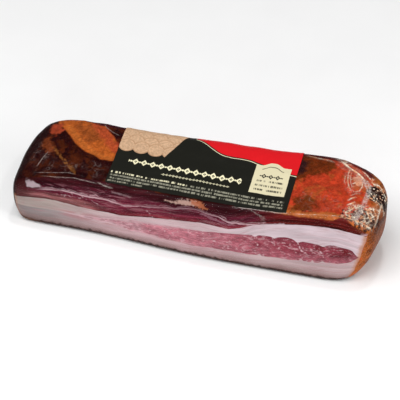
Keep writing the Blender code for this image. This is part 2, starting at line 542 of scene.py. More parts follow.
@dataclass(frozen=True)
class StainOrPaintedLight:
    """A patch of another colour on the slab: one of its real stains, or painted shade or a painted glare.

    Attributes:
        name: The name of its measure.
        colour: Its colour.
        outline: Its corners, in millimetres.
        side: The coordinates that the outline is drawn in.
        feather: Half the width of its soft edge, in millimetres.
        wobble: How far its edge strays, in millimetres.
        grain: The size of the strays, in millimetres.
        strength: How much of the colour below it covers.
        above: The height that it stays above, in millimetres.
    """

    name: str
    colour: Colour
    outline: tuple[Point2, ...]
    side: Side = Side.TOP
    feather: float = 1.5
    wobble: float = 3.0
    grain: float = 4.0
    strength: float = 1.0
    above: float = -10.0

    def write(self, obj: Piece, points: Array) -> None:
        """Keeps how deep each vertex lies inside the patch.

        Args:
            obj: The layer's object.
            points: The places of its vertices.
        """
        flat = points[:, list(self.side.value)] * PER_METRE
        inside = inside_outline(flat, self.outline)
        write_measure(obj, self.name, np.minimum(inside, points[:, 2] * PER_METRE - self.above))

    def over(self, graph: Graph, ground: Value) -> Socket:
        """Lays the patch over a colour.

        Args:
            graph: The material.
            ground: The colour below.

        Returns:
            The stained colour.
        """
        stray = graph.sway(2.0 * self.wobble, self.grain, detail=4.0)
        reach = graph.total(graph.measure(self.name), stray)
        share = graph.product(graph.step(reach, -self.feather, self.feather), self.strength)
        return graph.mix(share, ground, self.colour)


# Patches on the crust: stains and smoke, and painted shade along the rear edge, the right end's outer edge
# and the left end.
CRUST_STAINS_AND_SHADE = (
    StainOrPaintedLight(
        "amber_patch", (0.385, 0.086, 0.015),
        ((-121, 33), (-119, 29), (-113, 22), (-102, 11), (-95, 4), (-89, 0), (-81, -3), (-76, -6), (-64, -6),
         (-64, 3), (-66, 9), (-72, 18), (-78, 24), (-82, 30), (-88, 40), (-118, 44)),
        feather=0.9, wobble=1.8, grain=12.0,
    ),
    StainOrPaintedLight(
        "amber_red", (0.36, 0.050, 0.020),
        ((-92, 34), (-80, 27), (-73, 20), (-66, 11), (-63, 3), (-70, 3), (-77, 11), (-84, 18), (-92, 24)),
        feather=2.5, wobble=6.0, grain=6.0, strength=0.75,
    ),
    StainOrPaintedLight(
        "amber_core", (0.20, 0.048, 0.012),
        ((-106, 29), (-95, 29), (-86, 22), (-81, 14), (-88, 8), (-95, 13), (-102, 21)),
        feather=2.5, wobble=9.0, grain=4.5, strength=0.65,
    ),
    StainOrPaintedLight(
        "amber_rim", (0.41, 0.112, 0.022),
        ((-112, 23.5), (-100, 10.5), (-92, 2.5), (-83, -2), (-74, -5.5), (-66, -6), (-66, -2.5), (-74, -1.5),
         (-82, 2.5), (-90, 7.5), (-98, 15), (-110, 27)),
        feather=1.0, wobble=2.6, strength=0.6,
    ),
    StainOrPaintedLight(
        "ember_spot", (0.34, 0.050, 0.020), ((-125, 29), (-116, 28), (-113, 20), (-118, 15), (-124, 20)),
        feather=1.6, wobble=5.0, strength=0.85,
    ),
    StainOrPaintedLight(
        "rust_spot", (0.17, 0.036, 0.010),
        ((-127, 14), (-122, 13), (-117, 6), (-113, -1), (-116, -4), (-121, 0), (-126, 6)),
        feather=1.8, wobble=6.0, strength=0.85,
    ),
    StainOrPaintedLight(
        "tan_streak", (0.22, 0.078, 0.018),
        ((-116, 3), (-114, 3), (-107, -5), (-100, -12.3), (-93.5, -18), (-90, -22.5), (-93, -21),
         (-101, -13.7), (-108, -6.6)),
        feather=0.6, wobble=2.6, grain=2.0, strength=0.75,
    ),
    StainOrPaintedLight(
        "tan_end", (0.15, 0.050, 0.011), ((-98, -15), (-94, -15.5), (-90, -21), (-90, -24), (-95, -20)),
        feather=0.8, wobble=2.8, grain=2.5, strength=0.7,
    ),
    StainOrPaintedLight(
        "rear_shadow", (0.040, 0.010, 0.012),
        ((70, 40), (70, 23), (80, 26), (90, 26), (98, 25), (110, 24), (118, 20), (123, 17), (130, 13),
         (134, 11), (137, 7), (139.5, 1), (150, 0), (150, 40)),
        feather=1.4, grain=6.0, strength=0.9,
    ),
    StainOrPaintedLight(
        "umber_patch", (0.080, 0.018, 0.003),
        ((68, 29), (84, 29), (96, 24), (98, 18), (92, 12), (84, 7), (76, 2), (68, 0)),
        feather=2.5, wobble=9.0, grain=4.5, strength=0.85,
    ),
    StainOrPaintedLight(
        "soot_spot", (0.014, 0.006, 0.009), ((70, 24), (77, 21), (77, 11), (72, 6), (69, 10)),
        feather=2.0, strength=0.85,
    ),
    StainOrPaintedLight(
        "olive_patch", (0.085, 0.021, 0.003),
        ((74, -17), (83, -14), (90, -19), (93, -25), (88, -30), (74, -31)),
        feather=2.5, wobble=9.0, grain=4.5, strength=0.8,
    ),
    StainOrPaintedLight(
        "honey_strip", (0.38, 0.120, 0.028),
        ((68, -28.5), (84, -31.5), (100, -29), (116, -28), (128, -28), (130, -40), (68, -40)),
        feather=1.2, wobble=3.5, strength=0.75,
    ),
    StainOrPaintedLight(
        "smoked_end", (0.35, 0.098, 0.021),
        ((129, 60), (127, 20), (128, -10), (124, -60), (160, -60), (160, 60)),
        feather=3.0, wobble=7.0, grain=7.0, strength=0.9,
    ),
    StainOrPaintedLight(
        "end_umber", (0.130, 0.028, 0.007), ((133, 60), (133, -60), (160, -60), (160, 60)),
        feather=1.6, wobble=16.0, strength=0.7,
    ),
    # Painted shade along the right end's outer edge.
    StainOrPaintedLight(
        "end_edge_shade", (0.030, 0.010, 0.007),
        ((138, 20), (138.6, 2), (138.4, -6), (137.6, -13), (136.4, -20), (134.6, -26), (150, -30), (150, 20)),
        feather=1.0, wobble=2.6, strength=0.6, above=46.0,
    ),
    StainOrPaintedLight(
        "crumple_shade", (0.022, 0.006, 0.004),
        ((113, -25), (117, -20), (122, -16), (128, -17), (134, -18), (141, -18), (139, -31), (124, -32),
         (113, -30.5)),
        feather=0.7, wobble=15.0, grain=2.2, strength=0.9, above=54.0,
    ),
    StainOrPaintedLight(
        "peach_patch", (0.66, 0.32, 0.20),
        ((112.5, 10), (115, 14.5), (119, 12), (120, 6), (117.5, 3), (114, 5)),
        feather=0.8, grain=2.4, strength=0.65,
    ),
    # Painted shade along the rear edge.
    StainOrPaintedLight(
        "rear_edge_shade", (0.030, 0.010, 0.008), ((-126, 34.2), (-60, 34.2), (-60, 50), (-126, 50)),
        feather=0.9, wobble=1.6, grain=5.0, strength=0.8,
    ),
    StainOrPaintedLight(
        "charred_dots", (0.010, 0.003, 0.003),
        ((124.5, 4), (129, 9), (133, 7), (139, 9), (143, 0), (139, -6), (133, -5), (129, -6), (125, -4)),
        feather=0.6, wobble=4.0, grain=4.5, strength=0.97, above=50.0,
    ),
    # The left end: dark smoked crust, with painted shade where it turns down.
    StainOrPaintedLight(
        "charred_and_shaded_end", (0.016, 0.004, 0.004),
        ((-122, 60), (-124, 24), (-127.5, 5), (-132, -15), (-134.5, -60), (-170, -60), (-170, 60)),
        feather=2.2, wobble=2.4, grain=6.0,
    ),
)
# Patches on the cut face: its own colours, and a painted glare at the left.
FACE_STAINS_AND_GLARE = (
    StainOrPaintedLight(
        "cream_island", (0.52, 0.33, 0.27),
        ((-20, 54.2), (-12, 55.0), (-5, 56.6), (4, 57.4), (9, 55.6), (4, 54.6), (-4, 53.8), (-12, 53.4)),
        side=Side.FACE, feather=0.7, wobble=2.0, grain=1.5, strength=0.75,
    ),
    StainOrPaintedLight(
        "orange_island", (0.34, 0.100, 0.045), ((0, 57.8), (9, 58), (15, 54), (10, 53.6), (3, 55)),
        side=Side.FACE, feather=0.7, wobble=2.2, grain=1.5, strength=0.85,
    ),
    StainOrPaintedLight(
        "pale_wash", (0.50, 0.34, 0.36), ((-60, 50), (-44, 49), (-43, 50.4), (-58, 51.6)),
        side=Side.FACE, feather=0.7, wobble=1.4, grain=2.4, strength=0.3,
    ),
    StainOrPaintedLight(
        "mauve_streak", (0.27, 0.125, 0.165),
        ((4, 50.5), (14, 48.6), (26, 44.4), (36, 43.4), (28, 41.9), (16, 45.4)),
        side=Side.FACE, feather=0.7, wobble=2.2, grain=2.0, strength=0.6,
    ),
    # A painted highlight: glare on the film at the left of the cut face.
    StainOrPaintedLight(
        "left_sheen", (0.50, 0.40, 0.43),
        ((-128, 44), (-123, 44.5), (-117, 43.3), (-114, 41.8), (-120, 39.4), (-126.5, 38.9)),
        side=Side.FACE, feather=0.7, wobble=2.2, grain=2.0, strength=0.75,
    ),
)


@dataclass
class Slab:
    """The slab's outer form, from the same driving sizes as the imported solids.

    Attributes:
        sections: Each as its place along X, its front and back faces, and its height at both.
        front_row: How far in from an edge the first row of the front lies.
        back_row: The same at the back.
        base_row: The same at the base.
        left_draw: How far the left end draws back at its rear, front, base and top.
        right_draw: The same for the right end.
        draw_shares: The share of it that the rows next to an end take part in.
        rows_across: Rows from front to back.
        rows_up: Rows from base to top.
        fineness: Levels of subdivision.
        wrinkled: The height where the smoked top's wrinkles begin, and the height over which they grow.
        wrinkles: Their size and depth.
        swollen: Between which heights the soft swelling sets in.
        swellings: Its size and depth.
    """

    sections: tuple[tuple[float, ...], ...] = (
        (-0.1417, -0.0287, 0.0338, 0.0395, 0.0445),
        (-0.1330, -0.0309, 0.0375, 0.0430, 0.0492),
        (-0.1140, -0.0309, 0.0374, 0.0490, 0.0560),
        (-0.0810, -0.0309, 0.0358, 0.0555, 0.0585),
        (-0.0490, -0.0325, 0.0348, 0.0562, 0.0575),
        (-0.0190, -0.0351, 0.0343, 0.0575, 0.0595),
        (0.0160, -0.0365, 0.0351, 0.0580, 0.0610),
        (0.0510, -0.0363, 0.0343, 0.0600, 0.0610),
        (0.0800, -0.0361, 0.0343, 0.0635, 0.0645),
        (0.1050, -0.0359, 0.0328, 0.0668, 0.0665),
        (0.1270, -0.0352, 0.0258, 0.0640, 0.0650),
        (0.1421, -0.0297, 0.0183, 0.0565, 0.0600),
    )
    front_row: float = 0.009
    back_row: float = 0.015
    base_row: float = 0.008
    left_draw: tuple[float, float, float, float] = (0.0090, 0.001, 0.006, 0.002)
    right_draw: tuple[float, float, float, float] = (0.004, 0.0068, 0.0150, 0.001)
    draw_shares: tuple[float, ...] = (1.0, 0.75, 0.3)
    rows_across: int = 6
    rows_up: int = 5
    fineness: int = 4
    wrinkled: Point2 = (0.030, 0.025)
    wrinkles: Point2 = (0.011, 0.0009)
    swollen: Point2 = (0.002, 0.010)
    swellings: Point2 = (0.020, 0.0007)

    @staticmethod
    def row_places(start: float, end: float, first: float, last: float, rows: int) -> list[float]:
        """Places of the cage's rows between two edges, with the first and last so far in to hold them."""
        inner = np.linspace(start + first, end - last, rows - 2)
        return [start, *inner, end]

    @staticmethod
    def end_draw(draw: tuple[float, ...], across: float, up: float) -> float:
        """How far an end of the slab draws back.

        Args:
            draw: The end's draw at its rear, front, base and top.
            across: The place from 0 at the front to 1 at the rear.
            up: The place from 0 at the base to 1 at the top.

        Returns:
            The distance along X.
        """
        rear, front, base, top = draw
        sideways = rear * max(0.0, 2 * across - 1) ** 2 + front * (1 - across) ** 2
        return sideways + base * max(0.0, 1 - 2 * up) ** 2 + top * max(0.0, 2 * up - 1) ** 2

    def cage_point(self, section: int, row_across: int, row_up: int) -> Point3:
        """The place of one corner of the cage.

        Args:
            section: The section's number.
            row_across: The row's number, from the front.
            row_up: The row's number, from the base.

        Returns:
            The place, in metres.
        """
        x, front, back, front_top, back_top = self.sections[section]
        y = self.row_places(front, back, self.front_row, self.back_row, self.rows_across)[row_across]
        across = (y - front) / (back - front)
        top = front_top + (back_top - front_top) * across
        top_row = self.front_row + (self.back_row - self.front_row) * across
        z = self.row_places(0.0, top, self.base_row, top_row, self.rows_up)[row_up]
        last = len(self.sections) - 1
        if section < len(self.draw_shares):
            x += self.end_draw(self.left_draw, across, z / top) * self.draw_shares[section]
        if last - section < len(self.draw_shares):
            x -= self.end_draw(self.right_draw, across, z / top) * self.draw_shares[last - section]
        return x, y, z

    def front_at(self, x: Array) -> Array:
        """Where the front face lies, at these places along the slab."""
        table = np.array(self.sections)
        return np.interp(x, table[:, 0], table[:, 1])

    def back_at(self, x: Array) -> Array:
        """Where the back face lies, at these places along the slab."""
        table = np.array(self.sections)
        return np.interp(x, table[:, 0], table[:, 2])

    def top_at(self, x: Array, y: float) -> Array:
        """How high the top is.

        Args:
            x: Places along the slab.
            y: The place across it.

        Returns:
            The heights there.
        """
        table = np.array(self.sections)
        front, back = self.front_at(x), self.back_at(x)
        low = np.interp(x, table[:, 0], table[:, 3])
        high = np.interp(x, table[:, 0], table[:, 4])
        return low + (high - low) * (y - front) / (back - front)

    def make_cage(self) -> Piece:
        """A cube cut into a grid of rows, with each corner put in its place.

        Returns:
            The cage's object.
        """
        bpy.ops.object.select_all(action="DESELECT")
        bpy.ops.mesh.primitive_cube_add(size=1.0)
        cage = bpy.context.object
        cage.name = "slab_form"
        cells = (len(self.sections) - 1, self.rows_across - 1, self.rows_up - 1)
        bpy.ops.object.mode_set(mode="EDIT")
        for axis, count in enumerate(cells):
            normal = [float(axis == other) for other in range(3)]
            for cut in range(1, count):
                bpy.ops.mesh.select_all(action="SELECT")
                place = [part * (cut / count - 0.5) for part in normal]
                bpy.ops.mesh.bisect(plane_co=place, plane_no=normal)
        bpy.ops.object.mode_set(mode="OBJECT")
        rows = np.rint((points_of(cage) + 0.5) * cells).astype(int)
        place_points(cage, np.array([self.cage_point(*row) for row in rows]))
        return cage

    def relief(self, form: Piece, name: str, size: float, depth: float, share: Array) -> None:
        """Gives the form a soft relief.

        Args:
            form: The slab's object.
            name: The relief's name.
            size: The size of its swellings.
            depth: How deep it goes.
            share: How much of it each vertex takes.
        """
        clouds = bpy.data.textures.new(name, "CLOUDS")
        clouds.noise_scale = size
        clouds.noise_depth = 3
        group = form.vertex_groups.new(name=name)
        for index, weight in enumerate(share):
            if weight > LEAST_SHARE:
                group.add([index], float(weight), "REPLACE")
        finish_modifier(
            form, "DISPLACE", texture=clouds, texture_coords="LOCAL", strength=depth, mid_level=0.5,
            vertex_group=name,
        )
        form.vertex_groups.remove(form.vertex_groups[name])

    def build(self) -> Piece:
        """Makes the fine form, with the smoked top's wrinkles and the cut faces' softer relief.

        Returns:
            The form's object.
        """
        form = self.make_cage()
        finish_modifier(form, "SUBSURF", levels=self.fineness, render_levels=self.fineness)
        points = points_of(form)
        start, over = self.wrinkled
        top = ease(points[:, 2] - start, 0.0, over)
        clear_of_base = ease(points[:, 2], *self.swollen)
        self.relief(form, "smoked_wrinkles", *self.wrinkles, top)
        self.relief(form, "soft_swell", *self.swellings, clear_of_base)
        bpy.ops.object.shade_smooth()
        return form


@dataclass
class Measures:
    """What the finishes need to know about each point of the slab.

    Attributes:
        slab: The slab's form.
        front_turn: How far round the front edge the cut face reaches.
        right_turn: The same in the right half.
        end_turn: The same at the right end, where the face itself turns in.
        back_turn: The same at the back, whose edge is rounder.
        turn_places: Where the turn starts to narrow, is narrow, starts to widen and is wide.
    """

    slab: Slab
    front_turn: float = 0.0042
    right_turn: float = 0.0017
    end_turn: float = 0.0100
    back_turn: float = 0.0075
    turn_places: tuple[float, ...] = (0.040, 0.080, 0.106, 0.122)

    def write(self, obj: Piece) -> None:
        """Adds the measures to a layer's mesh, in millimetres.

        Args:
            obj: The layer's object.
        """
        points = points_of(obj)
        x, y, z = points.T
        outline = inside_outline(points[:, [0, 2]], FACE_OUTLINE)
        turns = (self.front_turn, self.right_turn, self.right_turn, self.end_turn)
        turn = np.interp(x, self.turn_places, turns)
        front = self.slab.front_at(x) + turn - y
        back = y - self.slab.back_at(x) + self.back_turn
        face = np.minimum(outline, np.maximum(front, back))
        middle = (MIDDLE_LEAN_TOP.height(x) + MIDDLE_LEAN_FOOT.height(x)) / 2
        found = {
            "face": face,
            "over_foot": z - UPPER_LEAN_FOOT.height(x),
            "under_edge": FACE_TOP.height(x) - z,
            "over_middle": z - middle,
            "under_middle_top": MIDDLE_LEAN_TOP.height(x) - z,
            "over_middle_foot": z - MIDDLE_LEAN_FOOT.height(x),
            "seam": z - WHITE_SEAM.height(x),
        }
        for name, values in found.items():
            write_measure(obj, name, values * PER_METRE)
        flat = points[:, [0, 2]] * PER_METRE
        write_measure(obj, "vein", np.min([along_path(flat, path)[0] for path in FACE_VEINS], axis=0))
        for stain_or_painted_light in CRUST_STAINS_AND_SHADE + FACE_STAINS_AND_GLARE:
            stain_or_painted_light.write(obj, points)


@dataclass(frozen=True)
class Crust:
    """The smoked outside: the top, both ends and the rind below.

    Attributes:
        maroon: The dark lean of the left half.
        brown: Its browner clouds.
        soot: Its darkest spots.
        ember: The orange-red of the right half.
        rust: Its darker clouds.
        amber: Its yellower clouds.
        rind: The skin underneath.
    """

    maroon: Colour = (0.022, 0.0030, 0.0028)
    brown: Colour = (0.060, 0.0115, 0.0035)
    soot: Colour = (0.014, 0.0022, 0.0030)
    ember: Colour = (0.45, 0.040, 0.014)
    rust: Colour = (0.31, 0.036, 0.013)
    amber: Colour = (0.35, 0.080, 0.018)
    rind: Colour = (0.055, 0.028, 0.020)

    def colour(self, graph: Graph) -> Socket:
        """The crust's colour.

        Args:
            graph: The material.

        Returns:
            The colour's socket.
        """
        x = graph.millimetres("X")
        z = graph.millimetres("Z")
        clouds = graph.step(graph.grain(14.0, detail=4.0, warp=0.8), 0.42, 0.62)
        dark = graph.mix(clouds, self.maroon, self.brown)
        dark = graph.mix(graph.step(graph.grain(7.0, detail=4.0, warp=1.0), 0.52, 0.66), dark, self.soot)
        clouds = graph.step(graph.grain(15.0, detail=3.0, warp=0.8), 0.32, 0.66)
        warm = graph.mix(clouds, self.rust, self.ember)
        golden = graph.product(graph.step(graph.grain(10.0, detail=3.0, warp=1.0), 0.50, 0.66), 0.65)
        warm = graph.mix(golden, warm, self.amber)
        found = graph.mix(graph.step(x, 55.0, 72.0), dark, warm)
        # Stains, and painted shade along the edges and at the left end.
        for stain_or_painted_light in CRUST_STAINS_AND_SHADE:
            found = stain_or_painted_light.over(graph, found)
        found = graph.shaded(found, graph.grain(4.5, detail=4.0, warp=1.0), 0.72, 1.26)
        found = graph.shaded(found, graph.grain(1.4), 0.86, 1.14)
        low = graph.total(z, graph.product(graph.grain(5.0, detail=3.0), -2.5))
        return graph.mix(graph.fall(low, 1.0, 3.0), found, self.rind)


@dataclass(frozen=True)
class LayerFinish:
    """A layer's finish: its own colours on the cut faces, and the smoked crust elsewhere.

    Attributes:
        name: The material's name.
        slot: A material slot's name; not used.
        crust: The crust.
        wet: The roughness of the cut face.
        smoked: The roughness of the crust.
        gloss: How strongly both reflect, under the film.
        tint: The smoke's colour where it has reached into the cut face.
        char: The same at the top of the left end, where it is darkest: dark smoke, with painted shade where
            the end turns down.
        right_tint: How strongly the right end is tinted.
        left_tint: How strongly the left end is tinted low down, and how much more high up.
        ragged: How far the cut's edge strays, and how much further at the right end.
        ragged_from: Where along X it starts and stops growing.
        cut: The depths at which the cut's colour sets in and is full.
        smoke_reach: The depths at which the smoke's tint starts and stops fading.
        charred_at: Where along X the char and its painted shade give way to the smoke.
        charred_above: The heights between which the char and its painted shade set in.
        left_end: Where along X the left end's tint stops.
        right_end: Where the right end's sets in.
    """

    name: str
    slot: str
    crust: Crust = Crust()
    wet: float = 0.34
    smoked: float = 0.38
    gloss: float = 0.02
    tint: Colour = (0.47, 0.185, 0.075)
    char: Colour = (0.024, 0.004, 0.004)
    right_tint: float = 0.8
    left_tint: Point2 = (0.35, 0.5)
    ragged: Point2 = (1.6, 1.2)
    ragged_from: Point2 = (104.0, 120.0)
    cut: Point2 = (-0.2, 0.9)
    smoke_reach: Point2 = (0.6, 4.2)
    charred_at: Point2 = (-20.0, 20.0)
    charred_above: Point2 = (24.0, 29.0)
    left_end: Point2 = (-128.0, -116.0)
    right_end: Point2 = (116.0, 128.0)

    def cut_colour(self, graph: Graph) -> Socket:
        """The colour of the cut face, which each kind of layer gives."""
        raise NotImplementedError

    def material(self) -> bpy.types.Material:
        """Makes the material.

        Returns:
            The material.
        """
        graph = Graph(self.name)
        x = graph.millimetres("X")
        least, more = self.ragged
        ragged = graph.total(least, graph.product(graph.step(x, *self.ragged_from), more))
        face = graph.total(graph.measure("face"), graph.sway(ragged, 5.0, detail=3.0))
        share = graph.step(face, *self.cut)
        rim = graph.product(share, graph.fall(face, *self.smoke_reach))
        # The top of the left end turns to char with painted shade, where the end curves down.
        at_left = graph.fall(x, *self.charred_at)
        high = graph.product(at_left, graph.step(graph.millimetres("Z"), *self.charred_above))
        smoke = graph.mix(high, self.tint, self.char)
        cut = graph.mix(graph.product(rim, self.rim_share(graph)), self.cut_colour(graph), smoke)
        found = graph.mix(share, self.crust.colour(graph), cut)
        rough = graph.total(graph.product(graph.rest(share), self.smoked), graph.product(share, self.wet))
        rough = graph.total(rough, graph.sway(0.18, 3.0))
        graph.feed(graph.shader, {"Base Color": found, "Roughness": rough, "Specular IOR Level": self.gloss})
        graph.bump((graph.grain(1.6, detail=3.0), 0.00014), (graph.grain(6.0), 0.0004))
        return graph.material

    def vein(self, graph: Graph, layer: Socket) -> Socket:
        """The veins that cross a lean.

        Args:
            graph: The material.
            layer: The place in the layer, in millimetres.

        Returns:
            One on the veins and zero off them.
        """
        stray = graph.sway(2.6, 2.5, place=layer)
        line = graph.fall(graph.total(graph.measure("vein"), stray), 0.1, 0.65)
        return graph.product(line, graph.step(graph.grain(3.5, place=layer), 0.36, 0.54))

    def rim_share(self, graph: Graph) -> Socket:
        """How strongly smoke has tinted the cut face next to the ends, with painted shade at the top of the
        left end.

        Args:
            graph: The material.

        Returns:
            A share from 0 to 1.
        """
        x = graph.millimetres("X")
        at_right = graph.product(graph.step(x, *self.right_end), self.right_tint)
        low, more = self.left_tint
        high = graph.step(graph.millimetres("Z"), *self.charred_above)
        at_left = graph.fall(x, *self.left_end)
        return graph.total(at_right, graph.product(at_left, graph.total(low, graph.product(high, more))))


@dataclass(frozen=True)
class DarkLean(LayerFinish):
    """The upper lean: maroon under the smoked top, purple further in, with streaks and a white seam.

    Attributes:
        maroon: Its colour right under the top.
        band: Its colour at the right, where it is thin.
        plum: Its colour a little further in.
        magenta: Its colour deep in.
        brick: Its colour just above the fat.
        dusty: The same at the left.
        rose: Its pale streaks.
        seam: The seam of fat in it, and its veins.
        smoked_red: Its colour next to the left end.
    """

    maroon: Colour = (0.030, 0.004, 0.006)
    band: Colour = (0.068, 0.006, 0.005)
    plum: Colour = (0.075, 0.008, 0.018)
    magenta: Colour = (0.118, 0.013, 0.027)
    brick: Colour = (0.125, 0.018, 0.023)
    dusty: Colour = (0.215, 0.078, 0.078)
    rose: Colour = (0.340, 0.140, 0.165)
    seam: Colour = (0.520, 0.340, 0.370)
    smoked_red: Colour = (0.055, 0.012, 0.012)

    def cut_colour(self, graph: Graph) -> Socket:
        """The streaked colours of the lean.

        Args:
            graph: The material.

        Returns:
            The colour's socket.
        """
        x = graph.millimetres("X")
        layer = graph.join(x, 0.0, graph.measure("over_foot"))
        wander = graph.sway(12.0, 7.0, length=4, detail=3.0, place=layer)
        deep = graph.total(graph.measure("under_edge"), wander)
        low = graph.total(graph.measure("over_foot"), graph.product(wander, 0.5))
        found = graph.mix(graph.step(deep, 3.0, 9.0), self.maroon, self.plum)
        found = graph.mix(graph.step(deep, 9.0, 15.0), found, self.magenta)
        found = graph.mix(graph.product(graph.fall(low, 1.0, 6.0), 0.75), found, self.brick)
        found = graph.mix(graph.step(x, 45.0, 75.0), found, self.band)
        at_left = graph.fall(x, -88.0, -58.0)
        found = graph.mix(graph.product(at_left, graph.fall(low, 5.0, 9.0), 0.85), found, self.dusty)
        broad = graph.grain(2.6, length=9, warp=0.4, place=layer)
        found = graph.shaded(found, broad, 0.55, 1.55)
        found = graph.shaded(found, graph.grain(1.5, length=12, detail=3.0, place=layer), 0.62, 1.42)
        inner = graph.product(graph.step(deep, 4.0, 8.0), graph.fall(x, 40.0, 70.0))
        pale = graph.step(graph.grain(3.0, length=8, detail=3.0, warp=0.5, place=layer), 0.60, 0.72)
        found = graph.mix(graph.product(pale, inner, 0.35), found, self.rose)
        veins = graph.threads(5.0, 7.0, 0.022, layer)
        found = graph.mix(graph.product(veins, inner, 0.45), found, self.rose)
        swing = graph.sway(3.5, 6.0, place=layer, detail=3.0)
        line = graph.total(graph.measure("seam"), swing)
        second = graph.less(graph.total(line, graph.product(swing, 1.3)), 1.6)
        left = graph.step(x, -122.0, -108.0)
        fading = graph.rest(graph.product(graph.step(x, -55.0, -25.0), graph.fall(x, 12.0, 30.0), 0.6))
        patchy = graph.step(graph.grain(5.0, length=3, place=layer), 0.36, 0.52)
        main_line = graph.product(graph.band(line, 0.62, 0.8), graph.total(graph.product(patchy, 0.5), 0.45))
        side_line = graph.product(graph.band(second, 0.38, 0.6), patchy, 0.6)
        seam = graph.product(graph.larger(main_line, side_line), left, fading)
        found = graph.mix(seam, found, self.seam)
        found = graph.mix(graph.product(self.vein(graph, layer), 0.55), found, self.seam)
        smoked = graph.fall(graph.total(x, wander), -130.0, -113.0)
        found = graph.mix(graph.product(smoked, 0.8), found, self.smoked_red)
        # The face's own patches and its painted glare.
        for stain_or_painted_light in FACE_STAINS_AND_GLARE:
            found = stain_or_painted_light.over(graph, found)
        return found


@dataclass(frozen=True)
class PinkLean(LayerFinish):
    """The middle lean: pink and grainy, with white flecks and fibres.

    Attributes:
        left: Its colour at the left.
        centre: Its colour in the middle.
        right: Its colour at the right.
        tip: Its colour at its right tip.
        rim: Its colour along its top.
        fleck: Its flecks, threads and veins.
        fat: The fat that frays its edges at the left.
    """

    left: Colour = (0.47, 0.26, 0.29)
    centre: Colour = (0.43, 0.150, 0.186)
    right: Colour = (0.245, 0.043, 0.062)
    tip: Colour = (0.130, 0.015, 0.020)
    rim: Colour = (0.15, 0.028, 0.045)
    fleck: Colour = (0.64, 0.44, 0.47)
    fat: Colour = (0.55, 0.39, 0.41)

    def cut_colour(self, graph: Graph) -> Socket:
        """The grainy pink of the lean.

        Args:
            graph: The material.

        Returns:
            The colour's socket.
        """
        x = graph.millimetres("X")
        layer = graph.join(x, 0.0, graph.measure("over_middle"))
        along = graph.total(x, graph.sway(90.0, 8.0, detail=3.0, place=layer))
        found = graph.mix(graph.step(along, -75.0, -15.0), self.left, self.centre)
        found = graph.mix(graph.step(along, 0.0, 75.0), found, self.right)
        found = graph.mix(graph.step(along, 92.0, 124.0), found, self.tip)
        low = graph.fall(graph.measure("over_middle_foot"), 1.0, 11.0)
        found = graph.mix(graph.product(low, graph.step(x, 20.0, 70.0), 0.45), found, self.centre)
        found = graph.shaded(found, graph.grain(5.0, length=4, detail=3.0, place=layer), 0.84, 1.16)
        found = graph.shaded(found, graph.grain(1.3, length=2.5, place=layer), 0.76, 1.26)
        near_top = graph.fall(graph.measure("under_middle_top"), 0.3, 2.4)
        found = graph.mix(graph.product(near_top, graph.step(x, 15.0, 60.0), 0.7), found, self.rim)
        veins = graph.threads(4.5, 2.2, 0.022, layer)
        flecks = graph.step(graph.grain(1.7, length=1.7, place=layer), 0.60, 0.70)
        clustered = graph.step(graph.grain(7.0, length=2, place=layer), 0.40, 0.58)
        marks = graph.larger(graph.product(veins, 0.4), graph.product(flecks, clustered, 0.6))
        found = graph.mix(marks, found, self.fleck)
        found = graph.mix(graph.product(self.vein(graph, layer), 0.8), found, self.fleck)
        inside = graph.smaller(graph.measure("under_middle_top"), graph.measure("over_middle_foot"))
        reach = graph.total(inside, graph.sway(9.0, 3.0, length=5, detail=3.0, place=layer))
        fade = graph.product(graph.fall(reach, -0.5, 3.0), graph.fall(x, -35.0, 25.0))
        return graph.mix(graph.product(fade, 0.85), found, self.fat)


@dataclass(frozen=True)
class Fat(LayerFinish):
    """A band of fat: lilac white at the right, greyer and darker at the left, partly as painted shade, with
    faint streaks along the layer.

    Attributes:
        left: Its colour at the left, darker partly as painted shade.
        centre: Its colour in the middle.
        right: Its colour at the right.
        blush: Its streaks, and the wash beside the pink lean.
        shade: Its painted shade low down, where it darkens towards the floor.
        rind: The skin at its foot.
        line: The measure that its streaks follow.
    """

    left: Colour = (0.38, 0.31, 0.285)
    centre: Colour = (0.56, 0.41, 0.43)
    right: Colour = (0.585, 0.475, 0.51)
    blush: Colour = (0.40, 0.20, 0.215)
    shade: Colour = (0.175, 0.090, 0.080)
    rind: Colour = (0.032, 0.014, 0.012)
    line: str = "over_foot"

    def cut_colour(self, graph: Graph) -> Socket:
        """The streaked white of the fat.

        Args:
            graph: The material.

        Returns:
            The colour's socket.
        """
        x = graph.millimetres("X")
        layer = graph.join(x, 0.0, graph.measure(self.line))
        # Greyer and darker towards the left, partly painted shade.
        found = graph.mix(graph.step(x, -120.0, -45.0), self.left, self.centre)
        found = graph.mix(graph.step(x, -10.0, 65.0), found, self.right)
        found = graph.shaded(found, graph.grain(4.0, length=7, detail=3.0, place=layer), 0.86, 1.12)
        streaks = graph.grain(2.2, length=12, detail=3.0, warp=0.4, place=layer)
        found = graph.mix(graph.product(graph.step(streaks, 0.55, 0.70), 0.38), found, self.blush)
        found = graph.mix(graph.product(graph.threads(3.4, 9.0, 0.020, layer), 0.35), found, self.blush)
        near = graph.band(graph.measure("over_middle"), 4.0, 4.0)
        faint = graph.step(graph.grain(2.2, length=8, detail=3.0, place=layer), 0.44, 0.58)
        wash = graph.product(near, faint, graph.step(x, -112.0, -92.0), graph.fall(x, -55.0, -10.0), 0.75)
        found = graph.mix(wash, found, self.blush)
        # Painted shade: the fat darkens towards the floor.
        low = graph.total(graph.millimetres("Z"), graph.sway(6.0, 9.0, length=2, detail=3.0))
        found = graph.mix(graph.product(graph.fall(low, 1.0, 15.5), 0.95), found, self.shade)
        skin = graph.fall(graph.total(graph.millimetres("Z"), graph.sway(5.0, 3.0)), 4.0, 6.0)
        return graph.mix(graph.product(skin, 0.92), found, self.rind)


